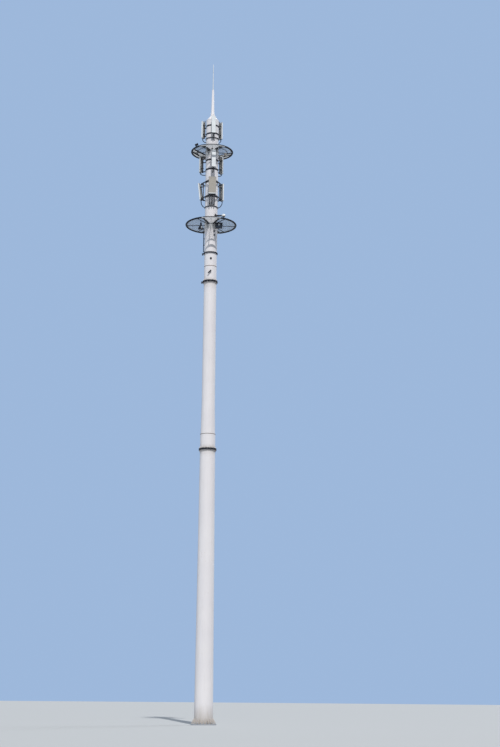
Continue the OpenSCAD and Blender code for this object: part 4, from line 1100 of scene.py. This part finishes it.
# The dark clamp block that hangs under the upper disc's front bar, with two bolts
barClamp = {
    "block": ((-0.050, -0.765, -0.080), (0.050, -0.655, -0.0256), 0.004),
    "bolts": ("down", 0.010, [(-0.025, -0.710, -0.0803), (0.025, -0.710, -0.0803)]),
}
kick = {
    "radius": 1.1667, "face": 1.1623, "foot": 0.0034, "turns": (100, 109, 118, 127, 135),
    "legs": [((-0.022, 0.0, 0.0), (0.022, 0.0045, 0.078), 0.0012),
             ((-0.022, 0.0, 0.0), (0.022, 0.040, 0.0045), 0.0012)],
    "bolts": [("back", 0.009, [(0, 0.0046, 0.052)]), ("up", 0.009, [(0, 0.026, 0.0046)])],
    "edgeHeight": 0.130, "edgeFrom": -95.2, "edgeTo": -137.8, "edgeRadius": 0.0062, "edgeSteps": 40,
}


def buildKickPlateFeet():
    # Angle feet with bolts on the inner side of the kick plate, and a rolled top edge
    feet = bmesh.new()
    z = upperDisc["z"] + kick["foot"]
    places = [spin(-turn) @ at(0, -kick["face"], z) for turn in kick["turns"]]
    for place in places:
        addParts(feet, place, boxes=kick["legs"])
    height = z + kick["edgeHeight"]
    edge = circlePoints(kick["radius"], height, kick["edgeFrom"], kick["edgeTo"], kick["edgeSteps"])
    addTube(feet, edge, kick["edgeRadius"], sides=10)
    finishPiece("kick_plate_feet", feet, "kickPaint")
    buildPiece("kick_plate_bolts", "boltZinc", places, bolts=kick["bolts"])


for disc in discs:
    buildDiscMesh(disc)
    buildBridgeGrating(disc)
    buildRimTrim(disc)
    buildMeshClips(disc)
    buildDiscBolts(disc)
    buildDiscWelds(disc)
buildFloorPlates()
upperMiddle = at(0, 0, upperDisc["z"])
buildPiece("upper_disc_bar_clamp", "darkSteel", [upperMiddle], boxes=[barClamp["block"]])
buildPiece("upper_disc_bar_clamp_bolts", "boltZinc", [upperMiddle], bolts=[barClamp["bolts"]])
buildKickPlateFeet()
print("tower: discs dressed")


# Antennas and cables
levels = [
    {"name": "top", "turn": 6, "foot": 34.935, "back": 0.600, "pipe": 0.510, "drop": 0.280,
     "clamps": (0.100, 0.620), "brackets": (0.250, 0.830), "tilts": (0, 0, 0)},
    {"name": "mid", "turn": 8, "foot": 32.695, "back": 0.703, "pipe": 0.593, "drop": 0.180,
     "clamps": (0.025, 0.620), "brackets": (0.250, 0.830), "tilts": (0, 0, 0)},
    {"name": "low", "turn": 3, "foot": 30.940, "back": 0.730, "pipe": 0.565, "drop": 0.480,
     "clamps": (0.015, 0.965), "brackets": (0.075, 0.830), "tilts": (0, 0, 7)},
]
topLevel, midLevel, lowLevel = levels
panel = {
    "count": 3, "height": 1.080, "width": 0.260, "depth": 0.100, "wideWidth": 0.450, "wideDepth": 0.140,
    "connector": 0.032, "wideConnectors": (-0.135, 0.0, 0.135), "pipeSpare": 0.025,
}


def levelTurn(level, i):
    return spin(level["turn"] + 360 / panel["count"] * i)


def panelPlace(level, i):
    # Where the middle of a panel's back lies
    middle = level["foot"] + panel["height"] / 2
    return levelTurn(level, i) @ at(0, -level["back"], middle) @ turned(level["tilts"][i], "X")


def isWide(level, i):
    return level is lowLevel and i == 0


def panelSize(level, i):
    # Half of the width, the depth, and half of the height
    if isWide(level, i):
        return panel["wideWidth"] / 2, panel["wideDepth"], panel["height"] / 2
    return panel["width"] / 2, panel["depth"], panel["height"] / 2


def connectors(level, i):
    return panel["wideConnectors"] if isWide(level, i) else (0.0,)


screws = {"size": 0.006, "across": 0.72, "deep": (0.25, 0.78), "end": 1.0002}
connectorRings = {
    "round": [(0.0235, 0.004), (0.0270, 0.006), (0.0270, 0.012), (0.0235, 0.014)],
    "hexagon": [(0.0235, 0.016), (0.0290, 0.017), (0.0290, 0.029), (0.0235, 0.031)],
}
bracketPlate = {
    "inner": 0.034, "outer": 0.105, "wideOuter": 0.140, "half": 0.034, "near": 0.0004, "far": 0.010,
    "chamfer": 0.0015, "bolts": (-0.085, -0.050, 0.050, 0.085), "boltSize": 0.009,
}
tray = {
    "inset": 0.012, "endInset": 0.020, "thick": 0.0060, "chamfer": 0.0015, "ribs": (-0.36, -0.12, 0.12, 0.36),
    "ribInset": 0.050, "ribHalf": 0.006, "ribNear": 0.0055, "ribFar": 0.0110,
}
sideRail = {
    "outer": 0.004, "inner": 0.028, "endInset": 0.012, "near": 0.0058, "far": 0.0300, "chamfer": 0.0030,
}
footPlate = {"inset": 0.010, "thick": 0.0090, "chamfer": 0.0025}
footTrim = {"inset": 0.002, "proud": 0.0050, "height": 0.048, "chamfer": 0.0018}


def screwParts(level, i):
    # Screws in a panel's end caps
    half, depth, high = panelSize(level, i)
    spots = [(side * half * screws["across"], -depth * share) for side in (-1, 1) for share in screws["deep"]]
    end = high * screws["end"]
    return {"bolts": [("up", screws["size"], [(x, y, end) for x, y in spots]),
                      ("down", screws["size"], [(x, y, -end) for x, y in spots])]}


def connectorParts(level, i):
    # Two rings on each connector under a panel's foot
    depth, high = panelSize(level, i)[1:]
    spots = [(x, -depth / 2, -high - panel["connector"]) for x in connectors(level, i)]
    outlines = ((connectorRings["round"], 24), (connectorRings["hexagon"], 6))
    return {"lathes": [("up", spot, *outline) for spot in spots for outline in outlines]}


def bracketParts(level, i):
    # Bolted plates on a panel's back, on both sides of each bracket
    outer = bracketPlate["wideOuter" if isWide(level, i) else "outer"]
    inner, half, near, far = [bracketPlate[key] for key in ("inner", "half", "near", "far")]
    heights = [up - panel["height"] / 2 for up in level["brackets"]]
    spots = [(x, far, z) for z in heights for x in bracketPlate["bolts"]]
    return {"sideBoxes": [((inner, near, z - half), (outer, far, z + half), bracketPlate["chamfer"])
                          for z in heights],
            "bolts": [("back", bracketPlate["boltSize"], spots)]}


def trayParts(level, i):
    # A shallow tray on a panel's back, with flat ribs across it
    half, _, high = panelSize(level, i)
    wide, long, rib = half - tray["inset"], high - tray["endInset"], half - tray["ribInset"]
    thick, near, far, chamfer = [tray[key] for key in ("ribHalf", "ribNear", "ribFar", "chamfer")]
    ribs = [((-rib, near, z - thick), (rib, far, z + thick), chamfer) for z in tray["ribs"]]
    return {"boxes": [((-wide, seat, -long), (wide, tray["thick"], long), chamfer)] + ribs}


def railParts(level, i):
    # The dark rails along a panel's back, and the dark plate under its foot
    half, depth, high = panelSize(level, i)
    long, wide, inset = high - sideRail["endInset"], half - footPlate["inset"], footPlate["inset"]
    return {"sideBoxes": [((half - sideRail["inner"], sideRail["near"], -long),
                           (half - sideRail["outer"], sideRail["far"], long), sideRail["chamfer"])],
            "boxes": [((-wide, -depth + inset, -high - footPlate["thick"]), (wide, -inset, -high - seat),
                       footPlate["chamfer"])]}


def trimParts(level, i):
    # The pale trim along the foot of the wide panel's face
    half, depth, high = panelSize(level, i)
    wide, foot, top = half - footTrim["inset"], -high + footTrim["inset"], -high + footTrim["height"]
    low, high = (-wide, -depth - footTrim["proud"], foot), (wide, -depth - seat, top)
    return {"boxes": [(low, high, footTrim["chamfer"])]}


panelPieces = (
    ("_panel_screws", "boltZinc", screwParts), ("_connector_rings", "zinc", connectorParts),
    ("_panel_rails", "darkSteel", bracketParts), ("_panel_trays", "trayGrey", trayParts),
    ("_panel_side_rails", "darkSteel", railParts),
)


def buildPanelFittings(level):
    for ending, finish, parts in panelPieces:
        bm = bmesh.new()
        for i in range(panel["count"]):
            addParts(bm, panelPlace(level, i), **parts(level, i))
        finishPiece(level["name"] + ending, bm, finish)
    if level is lowLevel:
        buildPiece("wide_panel_foot_trim", "radomeWhite", [panelPlace(level, 0)], **trimParts(level, 0))


uBolt = {"half": 0.0365, "wire": 0.005, "leg": 0.05, "nutAt": 0.046, "nut": 0.009, "up": 0.033, "steps": 10}
pipePlug = [(0.024, -0.012), (0.024, 0.0002), (0.0315, 0.0003), (0.0315, 0.006), (0.028, 0.010), (0, 0.012)]


def addUBolt(bm, place):
    half, leg = uBolt["half"], uBolt["leg"]
    bend = [(half, -leg)] + arc(half, 0, math.pi, uBolt["steps"]) + [(-half, -leg)]
    addTube(bm, [place @ Vector((x, y, 0)) for x, y in bend], uBolt["wire"], sides=8)
    addParts(bm, place, bolts=[("front", uBolt["nut"], [(x, -uBolt["nutAt"], 0) for x in (-half, half)])])


def buildPipeFittings(level):
    # U-bolts round the pipes at the brackets, and plastic plugs in the pipes' ends
    bolts = bmesh.new()
    places = [levelTurn(level, i) @ at(0, -level["pipe"], level["foot"]) for i in range(panel["count"])]
    for place in places:
        for up in level["brackets"]:
            for dz in (-uBolt["up"], uBolt["up"]):
                addUBolt(bolts, place @ at(0, 0, up + dz))
    finishPiece(level["name"] + "_pipe_bolts", bolts, "boltZinc")
    spare = panel["pipeSpare"]
    buildPiece(level["name"] + "_pipe_plugs", "rubber", places, lathes=[
        ("down", (0, 0, -spare), pipePlug, 32), ("up", (0, 0, panel["height"] + spare), pipePlug, 32)])


# The route's points are shares of the way out to the gland and of the way down to it
cable = {
    "radius": 0.023, "gland": 0.034, "head": 0.380, "smooth": 6, "sides": 16,
    "route": ((0, 0), (0, 0.2), (0.1, 0.46), (0.34, 0.74), (0.66, 0.94), (0.88, 1), (1, 1)),
    "bootSides": 18, "topBoot": 1.18, "topBootSizes": (1.0, 1.0, 0.95, 0.88),
    "footBoot": 1.2, "footBootSizes": (0.86, 0.883, 0.906, 0.929, 0.952, 0.975, 0.998),
    "nut": [(0.0255, 0.0002), (0.034, 0.0002), (0.036, 0.003), (0.036, 0.018), (0.031, 0.022),
            (0.0255, 0.022)],
}


def smoothLine(points, steps):
    # A smooth curve through the points
    line = []
    for i in range(len(points) - 1):
        p0, p1 = points[max(i - 1, 0)], points[i]
        p2, p3 = points[i + 1], points[min(i + 2, len(points) - 1)]
        for k in range(steps):
            t = k / steps
            line.append(0.5 * ((2 * p1) + (p2 - p0) * t + (2 * p0 - 5 * p1 + 4 * p2 - p3) * t * t
                               + (3 * p1 - p0 - 3 * p2 + p3) * t * t * t))
    line.append(points[-1])
    return line


def glandOut():
    return cable["head"] + cable["gland"]


def glandHeight(level):
    return level["foot"] - level["drop"] - panel["connector"]


def jumperLine(level, i, x):
    # One cable's run from a connector on a panel's foot to its gland, drawn at the front
    tilt = math.radians(level["tilts"][i])
    depth, high = panelSize(level, i)[1:]
    middle, reach = depth / 2, high + panel["connector"]
    out = level["back"] + middle * math.cos(tilt) - reach * math.sin(tilt)
    top = level["foot"] + high - reach * math.cos(tilt) - middle * math.sin(tilt) - seat
    start = Vector((x, -out, top))
    way = Vector((x, -glandOut() - seat, glandHeight(level))) - start
    points = [start + Vector((0, way.y * a, way.z * b)) for a, b in cable["route"]]
    points[1].y = start.y - way.z * cable["route"][1][1] * math.tan(tilt)  # leaves straight out of the panel
    return smoothLine(points, cable["smooth"])


def addBoot(bm, line, factor, sizes):
    addTube(bm, line, cable["radius"] * factor, cable["bootSides"], lambda k: sizes[k])


def buildJumpers():
    # The cables from each panel to their glands, with a boot at each end
    cables, boots, nuts = bmesh.new(), bmesh.new(), bmesh.new()
    topSizes, footSizes = cable["topBootSizes"], cable["footBootSizes"]
    for level in levels:
        for i in range(panel["count"]):
            turn = levelTurn(level, i)
            for x in connectors(level, i):
                line = [turn @ point for point in jumperLine(level, i, x)]
                addTube(cables, line, cable["radius"], cable["sides"])
                addBoot(boots, line[:len(topSizes)], cable["topBoot"], topSizes)
                addBoot(boots, line[-len(footSizes):], cable["footBoot"], footSizes)
                gland = turn @ at(x, -glandOut(), glandHeight(level)) @ turned(90, "X")
                addLathe(nuts, gland, cable["nut"], sides=6)
    piece = finishPiece("jumper_runs", cables, "rubber")
    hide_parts("jumper_cables")
    finishPiece("jumper_boots", boots, "rubber")
    finishPiece("gland_nuts", nuts, "boltZinc")


for level in levels:
    buildPanelFittings(level)
    buildPipeFittings(level)
buildJumpers()
print("tower: antennas and cables dressed")


# Bolts through the ears of the clamp collars, and on the grips of the hexagonal frames
clampEar = {"turn": 60, "out": 0.412, "bolts": [(0.012, [(0.0154, 0, -0.022), (0.0154, 0, 0.022)])]}
frameGrip = {
    "turn": 60, "out": 0.425,
    "bolts": [("up", 0.010, [(-0.01925, 0, 0.0254), (0.01925, 0, 0.0254)]),
              ("down", 0.010, [(-0.01925, 0, -0.0254), (0.01925, 0, -0.0254)])],
}


def clampPlaces(level, clamp):
    return [levelTurn(level, i) @ spin(clamp["turn"]) @ at(0, -clamp["out"], level["foot"] + up)
            for up in level["clamps"] for i in range(panel["count"])]


earPlaces = clampPlaces(topLevel, clampEar) + clampPlaces(midLevel, clampEar)
buildPiece("clamp_bolts", "boltZinc", earPlaces, sideBolts=clampEar["bolts"])
buildPiece("frame_bolts", "boltZinc", clampPlaces(lowLevel, frameGrip), bolts=frameGrip["bolts"])

# The floodlight's dark glass, a small pale patch in front of it that is a painted highlight for the lamp's
# glint, and bolts in its frame
lamp = {
    "place": spin(34) @ at(0, -0.830, 28.8074) @ spin(-34),
    "glass": ((-0.188, -0.0735, 0.022), (0.188, -0.0695, 0.308), 0.002),
    # The spot is the pale patch of painted highlight over the glass
    "spot": ((-0.030, -0.0760, 0.165), (0.062, -0.0725, 0.2508), 0.0012),
    "screws": ("front", 0.006, [(x, -0.0804, z) for x in (-0.2, 0.2) for z in (0.012, 0.165, 0.318)]),
    "swivels": (0.016, [(0.2224, 0, 0.1815)]),
}
buildPiece("lamp_glass", "darkGlass", [lamp["place"]], boxes=[lamp["glass"]])
buildPiece("lamp_painted_glint", "lens", [lamp["place"]], boxes=[lamp["spot"]])
buildPiece("lamp_bolts", "boltZinc", [lamp["place"]], bolts=[lamp["screws"]], sideBolts=[lamp["swivels"]])

# A pale lens strip on the front of the left lamp's hood, with its clips
hood = {
    "place": spin(-34) @ at(0, -1.080, 29.1874) @ spin(34),
    "lens": ((0.006, -0.0760, -0.500), (0.090, -0.0702, -0.345), 0.002),
    "clips": [((-0.002, -0.0785, z), (0.098, -0.0703, z + 0.012), 0.001) for z in (-0.500, -0.357)],
}
buildPiece("hood_lens", "cameraWhite", [hood["place"]], boxes=[hood["lens"]])
buildPiece("hood_clips", "darkSteel", [hood["place"]], boxes=hood["clips"])

# A seam ring and a smoked window on the dome camera, its flange, and bolts on the wall plate
dome = {
    "place": at(0, -0.290, 29.750), "middle": (0.7503, 0, 0), "flangeSpot": (0.6404, 0, 0),
    "seam": [(0.108, -0.006), (0.1116, -0.005), (0.1124, 0.0), (0.1116, 0.005), (0.108, 0.006)],
    "flange": [(0.055, 0.0), (0.060, 0.001), (0.060, 0.008), (0.055, 0.009)],
    "bowl": [(y, -x) for x, y in arc(0.11033, 0, math.pi / 3, 12)] + [(0.0946, -0.0528), (0, -0.0528)],
    "bolts": ("right", 0.012, [(0.2893, y, z) for y in (-0.045, 0.045) for z in (-0.070, 0.070)]),
}
buildPiece("camera_rings", "zinc", [dome["place"]], lathes=[
    ("up", dome["middle"], dome["seam"], 48), ("right", dome["flangeSpot"], dome["flange"], 32)])
buildPiece("camera_window", "darkGlass", [dome["place"]], lathes=[("up", dome["middle"], dome["bowl"], 40)])
buildPiece("camera_bolts", "boltZinc", [dome["place"]], bolts=[dome["bolts"]])

rimLamp = {
    "turn": 309, "up": 0.160, "tip": 25.0, "face": (0, 0, 0.100), "sides": 40,
    "glass": [(0, 0.0003), (0.0595, 0.0003), (0.0595, 0.0035), (0.045, 0.0075), (0.025, 0.0100),
              (0, 0.0110)],
    "bezel": [(0.060, 0.0003), (0.0735, 0.0003), (0.0735, 0.0040), (0.070, 0.0065), (0.063, 0.0065),
              (0.060, 0.0040), (0.060, 0.0003)],
    "fins": (-0.070, -0.050, -0.030, -0.010, 0.010, 0.030),
    "fin": [(0.059, 0), (0.066, 0.001), (0.066, 0.005), (0.059, 0.006), (0.059, 0)],
    "screws": ("up", 0.0045, [(0.0668, 0, 0.1066)]), "screwCount": 4, "pivots": (0.012, [(0.0304, 0, 0.095)]),
}


def buildRimLampDetail():
    # The glass in its bezel, cooling rings round the body, and the pivot bolts of the post
    foot = at(0, 0, upperDisc["z"]) @ spin(rimLamp["turn"]) @ at(0, -upperDisc["radius"], 0)
    body = foot @ spin(-rimLamp["turn"]) @ at(0, 0, rimLamp["up"]) @ turned(90 - rimLamp["tip"], "Y")
    face, sides = rimLamp["face"], rimLamp["sides"]
    fins = [("up", (0, 0, up), rimLamp["fin"], sides) for up in rimLamp["fins"]]
    buildPiece("rim_lamp_glass", "darkGlass", [body], lathes=[("up", face, rimLamp["glass"], sides)])
    buildPiece("rim_lamp_trim", "darkHousing", [body], lathes=[("up", face, rimLamp["bezel"], sides)] + fins)
    bolts = bmesh.new()
    for turn in evenTurns(rimLamp["screwCount"]):
        addParts(bolts, body @ turn, bolts=[rimLamp["screws"]])
    addParts(bolts, foot, sideBolts=[rimLamp["pivots"]])
    finishPiece("rim_lamp_bolts", bolts, "boltZinc")


buildRimLampDetail()

# The lid on the underside of the junction box with its screws, and on both sides lugs that hold it up
junctionBox = {
    "turn": 94, "out": 0.815, "lid": ((-0.084, -0.059, -0.0060), (0.084, 0.059, -0.0003), 0.0018),
    "screws": ("down", 0.005, [(x, y, -0.0061) for x in (-0.072, 0.072) for y in (-0.047, 0.047)]),
    "lugs": [((0.0903, -0.030, -0.0080), (0.1143, 0.030, -0.0010), 0.0015),
             ((0.0903, -0.030, -0.0400), (0.0953, 0.030, -0.0078), 0.0015)],
    "lugBolts": (0.007, [(0.0955, 0, -0.026)]),
}


def buildBoxLid():
    # The box's underside and top come from the solid
    lid, bolts = bmesh.new(), bmesh.new()
    low, high = [corner[2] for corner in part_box("junction_box")]
    under, top = [spin(junctionBox["turn"]) @ at(0, -junctionBox["out"], z) for z in (low, high)]
    addParts(lid, under, boxes=[junctionBox["lid"]])
    addParts(lid, top, sideBoxes=junctionBox["lugs"])
    addParts(bolts, under, bolts=[junctionBox["screws"]])
    addParts(bolts, top, sideBolts=[junctionBox["lugBolts"]])
    finishPiece("junction_box_lid", lid, "radomeBeige")
    finishPiece("junction_box_screws", bolts, "boltZinc")


buildBoxLid()

conduit = {
    "turn": -90, "out": 0.400, "elbow": 0.026, "straps": (1 / 3, 2 / 3),
    "screws": (0.006, [(0.0313, 0, -0.011), (0.0313, 0, 0.011)]),
}


def buildConduitScrews():
    # Screws in both sides of the two straps that hold the conduit
    low, high = [corner[2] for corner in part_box("side_conduit")]
    low, high = low + conduit["elbow"], high - conduit["elbow"]
    places = [spin(conduit["turn"]) @ at(0, -conduit["out"], low + (high - low) * share)
              for share in conduit["straps"]]
    buildPiece("conduit_screws", "boltZinc", places, sideBolts=[conduit["screws"]])


spire = {"bolts": 6, "foot": ("up", 0.010, [(0.108, 0, 0.0004)]), "rod": ("up", 0.006, [(0.044, 0, 0.0164)])}


def buildSpireDetail():
    # Bolts in the spire's foot flange, and round the collar where the rod leaves the tube
    bm = bmesh.new()
    foot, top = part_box("spire_tube")[0][2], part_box("spire_rod")[0][2]
    for turn in evenTurns(spire["bolts"]):
        addParts(bm, turn @ at(0, 0, foot), bolts=[spire["foot"]])
    for turn in evenTurns(spire["bolts"], phase=0):
        addParts(bm, turn @ at(0, 0, top), bolts=[spire["rod"]])
    finishPiece("spire_bolts", bm, "boltZinc")


buildConduitScrews()
buildSpireDetail()
print("tower: fittings dressed")
